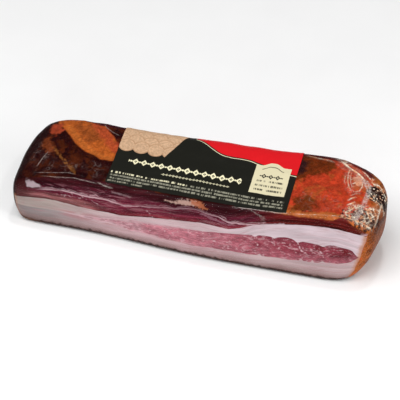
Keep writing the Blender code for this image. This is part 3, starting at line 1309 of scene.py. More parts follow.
@dataclass
class Layer:
    """One layer of the slab, which runs from the cut face to the back.

    Attributes:
        name: The piece's name.
        node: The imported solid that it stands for.
        finish: Its finish.
        foot: The border below it, if there is one.
        roof: The border above it, if there is one.
        tips: Where the layer starts and ends along X.
        step: The distance between the points of its outline.
        below: How low the cutter reaches under the lowest layer.
        above: How high it reaches over the highest.
        reach: How far it reaches to the front and to the back.
        closed: The gap at a tip under which the outline's two sides meet there.
    """

    name: str
    node: str
    finish: LayerFinish
    foot: Border | None = None
    roof: Border | None = None
    tips: Point2 = (-0.150, 0.150)
    step: float = 0.0007
    below: float = -0.010
    above: float = 0.090
    reach: float = 0.060
    closed: float = 0.0001

    def heights(self, border: Border | None, x: Array, open_height: float) -> Array:
        """The heights of one side of the layer's outline.

        Args:
            border: The border, or none where the layer is the outermost.
            x: Places along the slab.
            open_height: The height to use without a border.

        Returns:
            The heights.
        """
        if border is None:
            return np.full(len(x), open_height)
        if border is UPPER_LEAN_FOOT:
            return border.drawn(x)
        top, foot = MIDDLE_LEAN_TOP.drawn(x), MIDDLE_LEAN_FOOT.drawn(x)
        spread = ease(MIDDLE_LEAN_TOP.height(x) - MIDDLE_LEAN_FOOT.height(x), 0.0, 0.0015)
        centre = (MIDDLE_LEAN_TOP.height(x) + MIDDLE_LEAN_FOOT.height(x)) / 2
        side = top if border is MIDDLE_LEAN_TOP else foot
        return centre + (side - centre) * spread

    def cutter(self) -> Piece:
        """A block with the layer's outline, seen from the cut face, that runs right through the slab.

        Returns:
            The block's object.
        """
        start, end = self.tips
        x = np.linspace(start, end, round((end - start) / self.step))
        foot = self.heights(self.foot, x, self.below)
        roof = self.heights(self.roof, x, self.above)
        lower = np.stack([x, np.full(len(x), -self.reach), foot], axis=1)
        upper = np.stack([x, np.full(len(x), -self.reach), roof], axis=1)[::-1]
        if roof[0] - foot[0] < self.closed:
            upper = upper[1:-1]
        outline = np.concatenate([lower, upper])
        bpy.ops.object.select_all(action="DESELECT")
        bpy.ops.mesh.primitive_circle_add(vertices=len(outline), radius=self.reach, fill_type="NGON")
        block = bpy.context.object
        place_points(block, outline)
        bpy.ops.object.mode_set(mode="EDIT")
        bpy.ops.mesh.select_all(action="SELECT")
        bpy.ops.mesh.extrude_region_move(TRANSFORM_OT_translate={"value": (0.0, 2 * self.reach, 0.0)})
        bpy.ops.mesh.select_all(action="SELECT")
        bpy.ops.mesh.normals_make_consistent(inside=False)
        bpy.ops.object.mode_set(mode="OBJECT")
        return block

    def build(self, form: Piece, measures: Measures) -> Piece:
        """Cuts the layer out of the slab's form and dresses it.

        Args:
            form: The slab's form.
            measures: What the finish reads.

        Returns:
            The layer's object.
        """
        layer = copy_of(form, self.name)
        block = self.cutter()
        finish_modifier(layer, "BOOLEAN", operation="INTERSECT", object=block, solver="MANIFOLD")
        bpy.data.objects.remove(block)
        take(layer)
        bpy.ops.object.shade_smooth_by_angle(angle=math.radians(50))
        measures.write(layer)
        layer.data.materials.clear()
        layer.data.materials.append(self.finish.material())
        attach(layer, "root")
        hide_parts(self.node)
        return layer


@dataclass(frozen=True)
class Fold:
    """A narrow fold of the film, as a raised line with a painted white glint along it.

    Attributes:
        path: Its line over the top, in millimetres.
        width: Half its width.
        height: Its height.
        haze_and_glint: How white it looks: a painted glint along its crest, and the film's milkiness there.
        above: The height that it stays above.
    """

    path: tuple[Point2, ...]
    width: float = 0.45
    height: float = 0.35
    haze_and_glint: float = 0.6
    above: float = 36.0


@dataclass(frozen=True)
class Crumple:
    """A part of the film that has shrunk into fine wrinkles.

    Attributes:
        outline: Its outline over the top, in millimetres.
        pitch: The distance between its wrinkles, in millimetres.
        narrow: How narrow their crests are, as a share of the noise that they follow.
        stretch: How many times longer they run along X.
        height: The height of the highest, in millimetres.
        white: How white the crests look, as painted glints.
        haze_and_glint: How white the film looks between them: milky, and partly painted glints.
        lit: The share of the crests that catch the light.
        feather: Half the width of its soft edge.
        above: The height that it stays above.
        seed: Sets its wrinkles apart from another part's.
    """

    outline: tuple[Point2, ...]
    pitch: float = 3.0
    narrow: float = 0.10
    stretch: float = 1.0
    height: float = 0.5
    white: float = 0.9
    haze_and_glint: float = 0.0
    lit: float = 0.45
    feather: float = 2.0
    above: float = 50.0
    seed: float = 1.0

    def share(self, points: Array) -> Array:
        """How much each point belongs to the part, from 0 to 1, for places in millimetres."""
        inside = inside_outline(points[:, :2], self.outline)
        return ease(inside, -self.feather, self.feather) * ease(points[:, 2], self.above, self.above + SET_IN)

    def crests(self, points: Array) -> Array:
        """How near each point lies to a wrinkle's crest.

        Args:
            points: The places, in millimetres.

        Returns:
            One on a crest with a painted glint and zero away from it.
        """
        shift = Vector((self.seed * 7.3, self.seed * 3.1, self.seed * 5.7))
        scale = Vector((1.0 / (self.pitch * self.stretch), 1.0 / self.pitch, 1.0 / self.pitch))
        found = []
        for point in points:
            place = Vector(point) * scale + shift
            bent = place + 1.1 * noise.noise_vector(place * 0.7)
            broad = math.exp(-((noise.noise(bent) / self.narrow) ** 2))
            fine = math.exp(-((noise.noise(bent * 2.1 + shift) / self.narrow) ** 2))
            lit = min(1.0, max(0.0, self.lit + 1.6 * noise.noise(place * 0.9 - shift)))
            found.append(max(broad, 0.75 * fine) * lit)
        return np.array(found)


@dataclass
class Film:
    """The clear film, skin-tight but for a few folds and a crumpled corner.

    Attributes:
        gap: How far outside the meat it lies.
        fine: How close to a fold the film is modelled finely.
        cuts: How often a face is divided there.
        folds: The single folds.
        crumples: The crumpled parts.
        cream: The colour of the folds' painted glints and milky film at the right end.
        peach: The same in places.
        lilac: Their colour elsewhere.
        warm_from: Between which places along X they turn cream.
        roughness: The gloss's roughness.
        index: The film's index of refraction.
        gloss: The share of the reflection that is kept, and its most.
        ripple: The depth of its fine ripples.
        dotted: The outline of the part that is full of painted glints, drawn as bright dots.
        dotted_above: Between which heights the dots set in.
        dot_pitch: The distance between dots.
    """

    gap: float = 0.00015
    fine: float = 1.6
    cuts: int = 3
    cream: Colour = (1.0, 0.86, 0.68)
    peach: Colour = (0.95, 0.46, 0.25)
    lilac: Colour = (0.80, 0.66, 0.61)
    warm_from: Point2 = (50.0, 80.0)
    roughness: float = 0.09
    index: float = 1.40
    gloss: Point2 = (0.10, 0.006)
    ripple: float = 0.00035
    dotted_above: Point2 = (51.0, 54.0)
    dot_pitch: float = 2.6
    dotted: tuple[Point2, ...] = (
        (124, 4), (129, 9), (133, 7), (139, 9), (143, 0), (139, -6), (133, -5), (129, -6), (125, -4),
    )
    folds: tuple[Fold, ...] = (
        Fold(((-123, -22.5), (-110, -23.2), (-96, -22.6), (-88, -24)), width=0.26, haze_and_glint=0.30),
        Fold(((-118, -26), (-104, -27), (-90, -27.2), (-78, -29), (-69, -30)), width=0.28, haze_and_glint=0.30),
        Fold(((-72, -28.6), (-66, -30.4), (-58, -31.2)), width=0.3, haze_and_glint=0.35),
        Fold(((-117.6, -1), (-120.5, -8), (-123, -17)), width=0.26, haze_and_glint=0.42),
        Fold(((-84, 32), (-80, 27), (-74, 23), (-67, 20)), width=0.3, haze_and_glint=0.25),
        Fold(
            ((30, -33.2), (42, -33), (49, -32.8), (57, -33.3), (64, -33.6), (76, -33.4)),
            width=0.35, haze_and_glint=0.55,
        ),
        Fold(((44, -33.4), (50, -35), (54.7, -35.9), (58, -36.1)), width=0.25, height=0.2, haze_and_glint=0.16),
        Fold(
            ((112, -30.4), (118.9, -30), (124.7, -29.6), (130.6, -28.6), (135, -26.5)),
            width=0.6, height=0.5, haze_and_glint=0.75, above=50.0,
        ),
        Fold(((76, -33.4), (88, -33), (102, -31.6), (113, -30.4)), width=0.35, haze_and_glint=0.38),
        Fold(((72, 28), (81.6, 26.1), (89.3, 25), (98, 22.6)), width=0.7, height=0.3, haze_and_glint=0.3),
        Fold(
            ((99, 27), (104.9, 22), (110, 18.3), (114.9, 15.5), (119.4, 11.8), (123, 9)),
            width=0.75, height=0.8, haze_and_glint=0.95,
        ),
        Fold(((108.8, 21), (108.2, 13.5), (109, 6.2), (111.3, -0.7), (114.8, -3.8)), width=0.45, haze_and_glint=0.6),
        Fold(((110.6, 19), (110.2, 12), (111.4, 5), (113.4, 0), (116.4, -1.6)), width=0.3, haze_and_glint=0.4),
        Fold(((119.8, 9), (120.2, 4), (118.9, -1.5), (115.4, -3.6)), width=0.45, haze_and_glint=0.7),
        Fold(((112.4, 3.4), (114.6, 5.4), (116.2, 4.6), (118.4, 7.4)), width=0.5, haze_and_glint=0.7),
        Fold(((106.4, 12), (106.8, 5), (108.6, 1)), width=0.4, haze_and_glint=0.35),
        Fold(((116.4, 19.6), (120.4, 17.6), (124.2, 13.4), (127.4, 12.6)), width=0.5, haze_and_glint=0.7),
        Fold(((124.4, 12.4), (128.2, 9.4), (131.6, 10.4), (134.4, 8.2), (137.4, 4.4)), width=0.55, haze_and_glint=0.8),
        Fold(((114.3, -24.7), (117, -21), (119.5, -17.5)), width=0.7, height=0.6, haze_and_glint=0.7),
        Fold(((112.5, -19.1), (115.5, -16), (118.6, -12.7)), width=0.7, height=0.6, haze_and_glint=0.75),
        Fold(((112.3, -14), (115, -10.5), (118.4, -7.6)), width=0.6, height=0.6, haze_and_glint=0.65),
        Fold(((113, -9), (116, -6), (119, -3.5)), width=0.4, height=0.4, haze_and_glint=0.45),
        Fold(
            ((136.8, -1.6), (136, -8), (135.6, -14), (135.2, -19.6), (134.2, -25.9)),
            width=0.6, height=0.6, above=50.0,
        ),
    )
    crumples: tuple[Crumple, ...] = (
        Crumple(
            ((116, -16), (124, -12.5), (131, -11), (141, -9), (142, -24), (136, -31), (122, -31.5),
             (111, -31), (112, -23)),
            pitch=2.2, narrow=0.17, lit=0.62, white=0.9, haze_and_glint=0.05, feather=1.5, above=55.0,
        ),
        Crumple(
            ((117, 11), (123, 11), (126.5, 7.5), (127.4, -1.5), (126, -10.5), (125, -20), (122.8, -30),
             (118.5, -30), (120.3, -24), (122.4, -16), (123.4, -6), (124, 2)),
            pitch=2.8, narrow=0.15, height=0.35, white=0.7, haze_and_glint=0.50, feather=0.8, seed=2.0,
        ),
        Crumple(
            ((118, 17), (127, 15), (136, 11), (143, 4), (142, -10), (133, -9), (127, -7), (126, 8)),
            pitch=2.8, narrow=0.09, lit=0.4, white=0.9, seed=3.0,
        ),
        Crumple(
            ((107, 22), (113, 20), (121, 13), (121, 2), (119, -4), (113, -6), (108, -2), (106, 8)),
            pitch=3.4, narrow=0.07, height=0.3, white=0.5, haze_and_glint=0.02, feather=2.5, seed=14.0,
        ),
        Crumple(
            ((97, 29), (106, 25), (118, 17), (125, 9), (121, 6), (110, 14), (98, 22)),
            pitch=3.4, narrow=0.13, height=0.3, white=0.8, haze_and_glint=0.06, seed=5.0,
        ),
        Crumple(
            ((70, 31), (84, 32), (97, 27), (106, 25), (104, 29), (98, 34), (80, 38), (70, 36)),
            pitch=2.6, narrow=0.13, stretch=4.0, height=0.3, white=0.7, haze_and_glint=0.14, feather=1.5, seed=6.0,
        ),
        Crumple(
            ((-104, -8), (-90, -12), (-78, -10), (-66, -13), (-66, -26), (-90, -25), (-104, -20)),
            pitch=6.0, narrow=0.04, height=0.2, white=0.13, feather=3.0, above=44.0, seed=7.0,
        ),
        Crumple(
            ((-129, 10), (-118, 5), (-111, -6), (-108, -20), (-124, -24), (-131, -8)),
            pitch=4.5, narrow=0.05, height=0.2, white=0.12, feather=3.0, above=40.0, seed=8.0,
        ),
        Crumple(
            ((76, -10), (100, -8), (110, -14), (110, -24), (96, -29), (78, -30)),
            pitch=6.0, narrow=0.05, height=0.25, white=0.12, feather=3.0, above=58.0, seed=9.0,
        ),
    )

    def wrinkles(self, points: Array) -> tuple[Array, Array, Array]:
        """The folds' height, and how white their milky film and painted glints are, at places of the film.

        Args:
            points: The places, in metres.

        Returns:
            Heights in metres, how white the painted glints on the folds and crests are, and how milky the
            crumpled parts are.
        """
        noise.seed_set(WRINKLE_SEED)  # unset, the vector noise differs from run to run
        places = points * PER_METRE
        height, crests, veil = np.zeros((3, len(points)))
        for fold in self.folds:
            corners = np.array(fold.path)
            reach = 3 * fold.width
            past_low = places[:, :2] > corners.min(axis=0) - reach
            under_high = places[:, :2] < corners.max(axis=0) + reach
            near = np.flatnonzero((past_low & under_high).all(axis=1))
            gap, along = along_path(places[near, :2], fold.path)
            ends = np.minimum(ease(along, 0.0, 0.2), ease(1 - along, 0.0, 0.2))
            high = ease(places[near, 2], fold.above, fold.above + SET_IN)
            crest = np.exp(-((gap / fold.width) ** 2)) * ends * high
            height[near] = np.maximum(height[near], crest * fold.height)
            crests[near] = np.maximum(crests[near], crest * fold.haze_and_glint)
        for crumple in self.crumples:
            share = crumple.share(places)
            near = np.flatnonzero(share > 0.02)
            crest = crumple.crests(places[near]) * share[near]
            height[near] = np.maximum(height[near], crest * crumple.height)
            crests[near] = np.maximum(crests[near], crest * crumple.white)
            veil = np.maximum(veil, share * crumple.haze_and_glint)
        return height * MM, crests, veil

    def refine(self, film: Piece) -> None:
        """Divides the film's faces where it has folds.

        Args:
            film: The film's object.
        """
        centres = np.array([face.center for face in film.data.polygons])
        places = centres * PER_METRE
        wanted = np.zeros(len(centres), bool)
        for fold in self.folds:
            near = along_path(places[:, :2], fold.path)[0] < self.fine
            wanted |= near & (places[:, 2] > fold.above - 1.0)
        for crumple in self.crumples:
            wanted |= crumple.share(places) > LEAST_SHARE
        take(film)
        bpy.ops.object.mode_set(mode="EDIT")
        bpy.ops.mesh.select_mode(type="FACE")
        bpy.ops.mesh.select_all(action="DESELECT")
        bpy.ops.object.mode_set(mode="OBJECT")
        film.data.polygons.foreach_set("select", wanted)
        bpy.ops.object.mode_set(mode="EDIT")
        bpy.ops.mesh.subdivide(number_cuts=self.cuts)
        bpy.ops.object.mode_set(mode="OBJECT")

    def material(self) -> bpy.types.Material:
        """Clear film: a weak gloss over nothing, with a milky white and painted glints where it is folded or
        crumpled.

        Returns:
            The material.
        """
        graph = Graph("clear_film")
        graph.tree.nodes.remove(graph.shader)
        ripples = {"Distance": self.ripple, "Height": graph.grain(2.6, detail=3.0, warp=1.0)}
        normal = graph.add("ShaderNodeBump", ripples).outputs["Normal"]
        # Painted glints: the crumpled parts' milky film, broken into bright specks.
        speckle = graph.step(graph.grain(1.5, warp=1.5), 0.44, 0.54)
        veil = graph.product(graph.measure("veil"), graph.total(0.15, graph.product(speckle, 0.85)))
        patchy = graph.step(graph.grain(2.6), 0.38, 0.56)
        crests = graph.product(graph.measure("crests"), graph.total(0.5, graph.product(patchy, 0.5)))
        # Painted glints: bright dots over the dark spots of the right end.
        spots = graph.fall(graph.cells(self.dot_pitch), 0.18, 0.30)
        crests = graph.larger(crests, graph.product(spots, graph.measure("dots"), 0.8))
        tone = graph.mix(graph.step(graph.grain(4.0), 0.44, 0.62), self.cream, self.peach)
        folded = graph.step(graph.less(crests, veil), -0.05, 0.20)
        warm = graph.product(folded, graph.step(graph.millimetres("X"), *self.warm_from))
        # The milky film and the painted glints are a white diffuse layer over the clear film.
        clear = graph.add("ShaderNodeBsdfTransparent").outputs[0]
        haze_and_glint = graph.add("ShaderNodeBsdfDiffuse", {"Color": graph.mix(warm, self.lilac, tone)}).outputs[0]
        glossy = {"Roughness": self.roughness, "Normal": normal}
        gloss = graph.add("ShaderNodeBsdfAnisotropic", glossy).outputs[0]
        white = graph.larger(veil, crests)
        lower = graph.add("ShaderNodeMixShader", {0: white, 1: clear, 2: haze_and_glint}).outputs[0]
        fresnel = graph.add("ShaderNodeFresnel", {"IOR": self.index}).outputs[0]
        share, most = self.gloss
        weak = graph.smaller(graph.product(fresnel, share), most)
        upper = graph.add("ShaderNodeMixShader", {0: weak, 1: lower, 2: gloss}).outputs[0]
        graph.feed(graph.output, {"Surface": upper})
        return graph.material

    def build(self, form: Piece) -> Piece:
        """Lays the film round the slab.

        Args:
            form: The slab's form.

        Returns:
            The film's object.
        """
        film = copy_of(form, "film")
        self.refine(film)
        height, crests, veil = self.wrinkles(points_of(film))
        normals = np.empty(len(film.data.vertices) * 3)
        film.data.vertices.foreach_get("normal", normals)
        place_points(film, points_of(film) + normals.reshape(-1, 3) * (height + self.gap)[:, None])
        write_measure(film, "crests", crests)
        write_measure(film, "veil", veil)
        places = points_of(film) * PER_METRE
        dots = ease(inside_outline(places[:, :2], self.dotted), -0.8, 0.8)
        write_measure(film, "dots", dots * ease(places[:, 2], *self.dotted_above))
        take(film)
        bpy.ops.object.shade_smooth_by_angle(angle=math.radians(60))
        film.data.materials.clear()
        film.data.materials.append(self.material())
        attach(film, "root")
        return film


@dataclass(frozen=True)
class Row:
    """A row of ornaments, or rows of small marks, on the label.

    Attributes:
        middle: The middle of the row, or of the first one, across the sheet.
        pitch: The distance between ornaments, or between rows of marks.
        size: Half an ornament's height, or the share of the pitch that a row's marks fill.
        low: The first corner of the field that it keeps to.
        high: The field's other corner.
    """

    middle: float
    pitch: float
    size: float
    low: Point2
    high: Point2


@dataclass(frozen=True)
class Sheet:
    """The place on the label that is being shaded, in millimetres from the sheet's front left corner.

    Attributes:
        graph: The material.
        along: The place along the sheet.
        across: The place across it.
        soft: Half the width of a field's soft edge.
    """

    graph: Graph
    along: Value
    across: Value
    soft: float = 0.12

    def past(self, value: Value, edge: float) -> Socket:
        """One past an edge and zero before it."""
        return self.graph.step(value, edge - self.soft, edge + self.soft)

    def field(self, low: Point2, high: Point2, across: Value | None = None) -> Socket:
        """One inside the rectangle between two corners, and zero outside it."""
        across = self.across if across is None else across
        return self.graph.product(
            self.past(self.along, low[0]), self.graph.rest(self.past(self.along, high[0])),
            self.past(across, low[1]), self.graph.rest(self.past(across, high[1])),
        )

    def marks(self, row: Row) -> Socket:
        """Rows of tiny marks that read as nothing.

        Args:
            row: Their place and size.

        Returns:
            One on the marks and zero off them, over the whole sheet.
        """
        graph = self.graph
        across = graph.less(self.across, row.middle)
        number = graph.maths("ROUND", graph.ratio(across, row.pitch))
        from_row = graph.less(across, graph.product(number, row.pitch))
        strip = graph.band(from_row, row.pitch * row.size / 2, 0.25)
        place = graph.join(self.along, graph.product(number, 17.3))
        fine = graph.step(graph.grain(0.55, detail=0.0, place=place), 0.36, 0.50)
        groups = graph.step(graph.grain(2.4, detail=1.0, place=place), 0.36, 0.42)
        return graph.product(strip, fine, groups)

    def chain(self, row: Row, along: Value | None = None) -> Socket:
        """A row of hollow lozenges with a dot between each two.

        Args:
            row: Its place and size.
            along: The place along the row, where it isn't the sheet's own.

        Returns:
            One on the ornament and zero off it.
        """
        graph = self.graph
        along = self.along if along is None else along
        turn = graph.less(graph.maths("FRACT", graph.ratio(along, row.pitch)), 0.5)
        from_middle = graph.maths("ABSOLUTE", graph.product(turn, row.pitch))
        tall = graph.maths("ABSOLUTE", graph.less(self.across, row.middle))
        reach = graph.total(graph.ratio(from_middle, row.pitch * 0.40), graph.ratio(tall, row.size))
        lozenge = graph.fall(reach, 0.95, 1.05)
        hollow = graph.fall(reach, 0.38, 0.46)
        seed = graph.fall(reach, 0.12, 0.18)
        from_gap = graph.less(from_middle, row.pitch / 2)
        square = graph.total(graph.product(from_gap, from_gap), graph.product(tall, tall))
        dot = graph.fall(graph.maths("SQRT", square), row.size * 0.22, row.size * 0.30)
        ring = graph.total(graph.less(lozenge, hollow), seed)
        return graph.product(graph.larger(ring, dot), self.field(row.low, row.high))


@dataclass(frozen=True)
class Print:
    """The label's print: fields of colour, ornaments and rows of small marks, in millimetres on the sheet.

    Attributes:
        width: The label's width.
        length: The label's length, from its front edge to the end that hangs down the back.
        black: The ground's colour.
        red: The rear field's.
        cream: The ornaments' and the line's along the red field.
        ticket: The ticket's.
        grey: The small marks'.
        beige: The scallops'.
        tan: Their rims'.
        slant: How much the print is turned on the sheet.
        red_edge: Where the red field's front edge starts, across the sheet.
        dip: Between which places along the sheet the edge comes forward, and how far.
        slope: The same for its slow slope at the right.
        red_from: Between which places along the sheet the red field sets in.
        red_line: How far before the edge the cream line lies, and half its width.
        title: The large ornaments.
        second: The small ornaments.
        small: The rows of small marks.
        last: The corners of their last, short row.
        bold: The corners of the brighter ones.
        scallop: The distance between scallops, and their radius.
        scallop_rows: The middle of the first row of scallops, and the distance between rows.
        scallop_end: Between which places along the sheet the scallops end.
        scallop_slant: How much their end slants.
        ticket_field: The ticket's corners, where its wavy top is lowest.
        hump: Between which distances from its middle the ticket's top falls, and how far.
        ticket_middle: The middle of the hump, along the sheet.
        ticket_small: The ticket's rows of small marks.
        ticket_chain: Its ornaments.
        chain_shift: How far to the left they are shifted.
        ticket_line: The corners of the field that its curved line keeps to.
        line_at: The height of that line on the ticket, and half its width.
    """

    width: float
    length: float
    black: Colour = (0.0105, 0.0105, 0.0075)
    red: Colour = (0.68, 0.009, 0.014)
    cream: Colour = (0.88, 0.82, 0.55)
    ticket: Colour = (0.72, 0.655, 0.435)
    grey: Colour = (0.34, 0.33, 0.25)
    beige: Colour = (0.59, 0.38, 0.235)
    tan: Colour = (0.42, 0.23, 0.12)
    slant: float = -0.015
    red_edge: float = 64.0
    dip: Point3 = (52.0, 82.0, 14.0)
    slope: Point3 = (96.0, 137.0, 8.5)
    red_from: Point2 = (55.0, 55.3)
    red_line: Point2 = (1.4, 0.28)
    title: Row = Row(26.6, 6.7, 3.2, (11.5, 22.0), (98.5, 31.0))
    second: Row = Row(18.9, 2.6, 1.1, (38.5, 17.0), (91.0, 21.0))
    small: Row = Row(12.4, 3.1, 0.56, (1.5, 4.6), (133.5, 14.2))
    last: tuple[Point2, Point2] = ((1.5, 1.5), (28.5, 4.6))
    bold: tuple[Point2, Point2] = ((1.5, 10.9), (60.0, 14.2))
    scallop: Point2 = (11.4, 6.6)
    scallop_rows: Point2 = (42.0, 6.2)
    scallop_end: Point2 = (20.0, 20.4)
    scallop_slant: float = -0.45
    ticket_field: tuple[Point2, Point2] = ((105.7, 17.9), (132.2, 47.0))
    hump: Point3 = (1.5, 8.5, 3.6)
    ticket_middle: float = 118.6
    ticket_small: Row = Row(22.0, 4.4, 0.42, (108.7, 19.9), (129.2, 32.4))
    ticket_chain: Row = Row(36.0, 5.2, 2.4, (110.2, 32.5), (127.7, 39.5))
    chain_shift: float = 2.6
    ticket_line: tuple[Point2, Point2] = ((110.7, 40.0), (127.2, 50.0))
    line_at: Point2 = (42.8, 0.45)

    def sheet(self, graph: Graph) -> Sheet:
        """The place on the sheet, read from its UV map.

        Args:
            graph: The material.

        Returns:
            The place.
        """
        flat = graph.add("ShaderNodeUVMap", uv_map="UVMap").outputs[0]
        along = graph.product(graph.axis(flat, "X"), self.width)
        across = graph.product(graph.axis(flat, "Y"), self.length)
        return Sheet(graph, along, graph.total(across, graph.product(along, -self.slant)))

    def scallops(self, sheet: Sheet, ground: Value) -> Socket:
        """Rows of beige scallops, each row overlapping the one behind it.

        Args:
            sheet: The place on the sheet.
            ground: The colour below.

        Returns:
            The colour with the scallops on it.
        """
        graph, along, across = sheet.graph, sheet.along, sheet.across
        pitch, radius = self.scallop
        first, apart = self.scallop_rows
        slanted = graph.total(along, graph.product(across, self.scallop_slant))
        field_end = graph.fall(slanted, *self.scallop_end)
        for row in range(4, -1, -1):
            turn = graph.maths("FRACT", graph.total(graph.ratio(along, pitch), 0.5 * (row % 2)))
            from_middle = graph.product(graph.less(turn, 0.5), pitch)
            rise = graph.less(across, first + apart * row)
            square = graph.total(graph.product(from_middle, from_middle), graph.product(rise, rise))
            reach = graph.maths("SQRT", square)
            disc = graph.product(graph.fall(reach, radius - 0.15, radius + 0.15), field_end)
            edge = graph.band(graph.less(reach, radius - 0.5), 0.35, 0.5)
            inner = graph.band(graph.less(reach, radius * 0.58), 0.22, 0.4)
            tone = graph.shaded(self.beige, graph.grain(1.6, detail=3.0), 0.82, 1.15)
            rims = graph.larger(graph.product(edge, 0.75), graph.product(inner, 0.35))
            ground = graph.mix(disc, ground, graph.mix(rims, tone, self.tan))
        return ground

    def material(self) -> bpy.types.Material:
        """Makes the printed paper.

        Returns:
            The material.
        """
        graph = Graph("printed_label")
        sheet = self.sheet(graph)
        found = self.scallops(sheet, self.black)
        low, high, depth = self.dip
        edge = graph.less(self.red_edge, graph.product(graph.step(sheet.along, low, high), depth))
        low, high, depth = self.slope
        edge = graph.less(edge, graph.product(graph.step(sheet.along, low, high), depth))
        over = graph.less(sheet.across, edge)
        before, half = self.red_line
        right_of = graph.step(sheet.along, *self.red_from)
        line = graph.product(graph.band(graph.total(over, before), half, 0.2), right_of)
        found = graph.mix(line, found, self.cream)
        found = graph.mix(graph.product(sheet.past(over, 0.0), right_of), found, self.red)
        found = graph.mix(sheet.chain(self.title), found, self.cream)
        found = graph.mix(graph.product(sheet.chain(self.second), 0.75), found, self.cream)
        rows = sheet.marks(self.small)
        kept = graph.larger(sheet.field(self.small.low, self.small.high), sheet.field(*self.last))
        found = graph.mix(graph.product(rows, kept, 0.8), found, self.grey)
        found = graph.mix(graph.product(rows, sheet.field(*self.bold), 0.7), found, self.cream)
        found = self.badge(sheet, found)
        graph.feed(graph.shader, {"Base Color": found, "Roughness": 0.42, "Specular IOR Level": 0.12})
        graph.bump((graph.grain(14.0), 0.0006), (graph.grain(0.4), 0.00001))
        return graph.material

    def badge(self, sheet: Sheet, ground: Value) -> Socket:
        """A cream ticket with a wavy top and dark rows on it.

        Args:
            sheet: The place on the sheet.
            ground: The colour below.

        Returns:
            The colour with the ticket on it.
        """
        graph = sheet.graph
        (left, foot), corner = self.ticket_field
        from_middle = graph.less(sheet.along, self.ticket_middle)
        low, high, rise = self.hump
        hump = graph.product(graph.fall(graph.maths("ABSOLUTE", from_middle), low, high), rise)
        level = graph.less(sheet.across, hump)
        ticket = sheet.field((left, foot - 2 * rise), corner, level)
        ticket = graph.product(ticket, sheet.past(sheet.across, foot))
        found = graph.mix(ticket, ground, self.ticket)
        small = self.ticket_small
        rows = graph.product(sheet.marks(small), sheet.field(small.low, small.high), 0.85)
        found = graph.mix(rows, found, self.black)
        chain = sheet.chain(self.ticket_chain, graph.total(from_middle, self.chain_shift))
        found = graph.mix(chain, found, self.black)
        height, half = self.line_at
        line = graph.product(graph.band(graph.less(level, height), half, 0.3), sheet.field(*self.ticket_line))
        return graph.mix(graph.product(line, 0.8), found, self.black)


@dataclass
class Label:
    """The printed sheet over the slab's top, bent down over its back edge.

    Attributes:
        slab: The slab's form.
        left: Its left edge.
        right: Its right edge.
        front_left: Its front edge at the left.
        front_right: Its front edge at the right.
        drop: How far it hangs down the back.
        bend: The radius that it turns by at the back edge.
        clearance: How far outside the slab the sheet starts, before it is drawn on to the film.
        gap: The gap between the film and the sheet.
        thickness: The sheet's thickness.
        cells_along: How many faces it has along X.
        cells_across: How many it has across.
    """

    slab: Slab
    left: float = -0.0657
    right: float = 0.0713
    front_left: float = -0.0292
    front_right: float = -0.0345
    drop: float = 0.0180
    bend: float = 0.010
    clearance: float = 0.003
    gap: float = 0.00006
    thickness: float = 0.00022
    cells_along: int = 150
    cells_across: int = 96

    def front_at(self, x: Array) -> Array:
        """Where the front edge lies, at these places along the slab."""
        return np.interp(x, (self.left, self.right), (self.front_left, self.front_right))

    def length(self) -> float:
        """The sheet's length from its front edge to the end that hangs down."""
        middle = np.zeros(1)
        return float(self.slab.back_at(middle)[0] - self.front_at(middle)[0] + self.drop)

    def wrapped(self, flat: Array) -> Array:
        """Where the sheet's points lie, just outside the slab.

        Args:
            flat: Each point's place along X, and its run from the front edge.

        Returns:
            The places, in metres.
        """
        x, run = flat.T
        height = self.slab.top_at(x, 0.0) + self.clearance
        back = self.slab.back_at(x) + self.clearance
        level = back - self.bend - self.front_at(x)
        angle = np.clip((run - level) / self.bend, 0.0, math.pi / 2)
        down = np.maximum(run - level - self.bend * math.pi / 2, 0.0)
        y = self.front_at(x) + np.minimum(run, level) + self.bend * np.sin(angle)
        z = height - self.bend * (1.0 - np.cos(angle)) - down
        return np.stack([x, y, z], axis=1)

    def build(self, film: Piece) -> Piece:
        """Lays the sheet on the film.

        Args:
            film: The film's object.

        Returns:
            The label's object.
        """
        bpy.ops.object.select_all(action="DESELECT")
        bpy.ops.mesh.primitive_grid_add(
            x_subdivisions=self.cells_along, y_subdivisions=self.cells_across, size=1.0, calc_uvs=True
        )
        label = bpy.context.object
        label.name = label.data.name = "printed_label"
        shares = points_of(label)[:, :2] + 0.5
        x = self.left + (self.right - self.left) * shares[:, 0]
        place_points(label, self.wrapped(np.stack([x, self.length() * shares[:, 1]], axis=1)))
        finish_modifier(
            label, "SHRINKWRAP", target=film, wrap_method="NEAREST_SURFACEPOINT", wrap_mode="OUTSIDE_SURFACE",
            offset=self.gap,
        )
        finish_modifier(label, "SOLIDIFY", thickness=self.thickness, offset=1.0)
        bpy.ops.object.shade_smooth_by_angle(angle=math.radians(50))
        paper = Print((self.right - self.left) * PER_METRE, self.length() * PER_METRE)
        label.data.materials.clear()
        label.data.materials.append(paper.material())
        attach(label, "root")
        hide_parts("label")
        return label


@dataclass(frozen=True)
class Lamp:
    """A soft square light.

    Attributes:
        name: Its name.
        place: Where it hangs.
        size: Its side.
        watts: Its power.
    """

    name: str
    place: Point3
    size: float
    watts: float


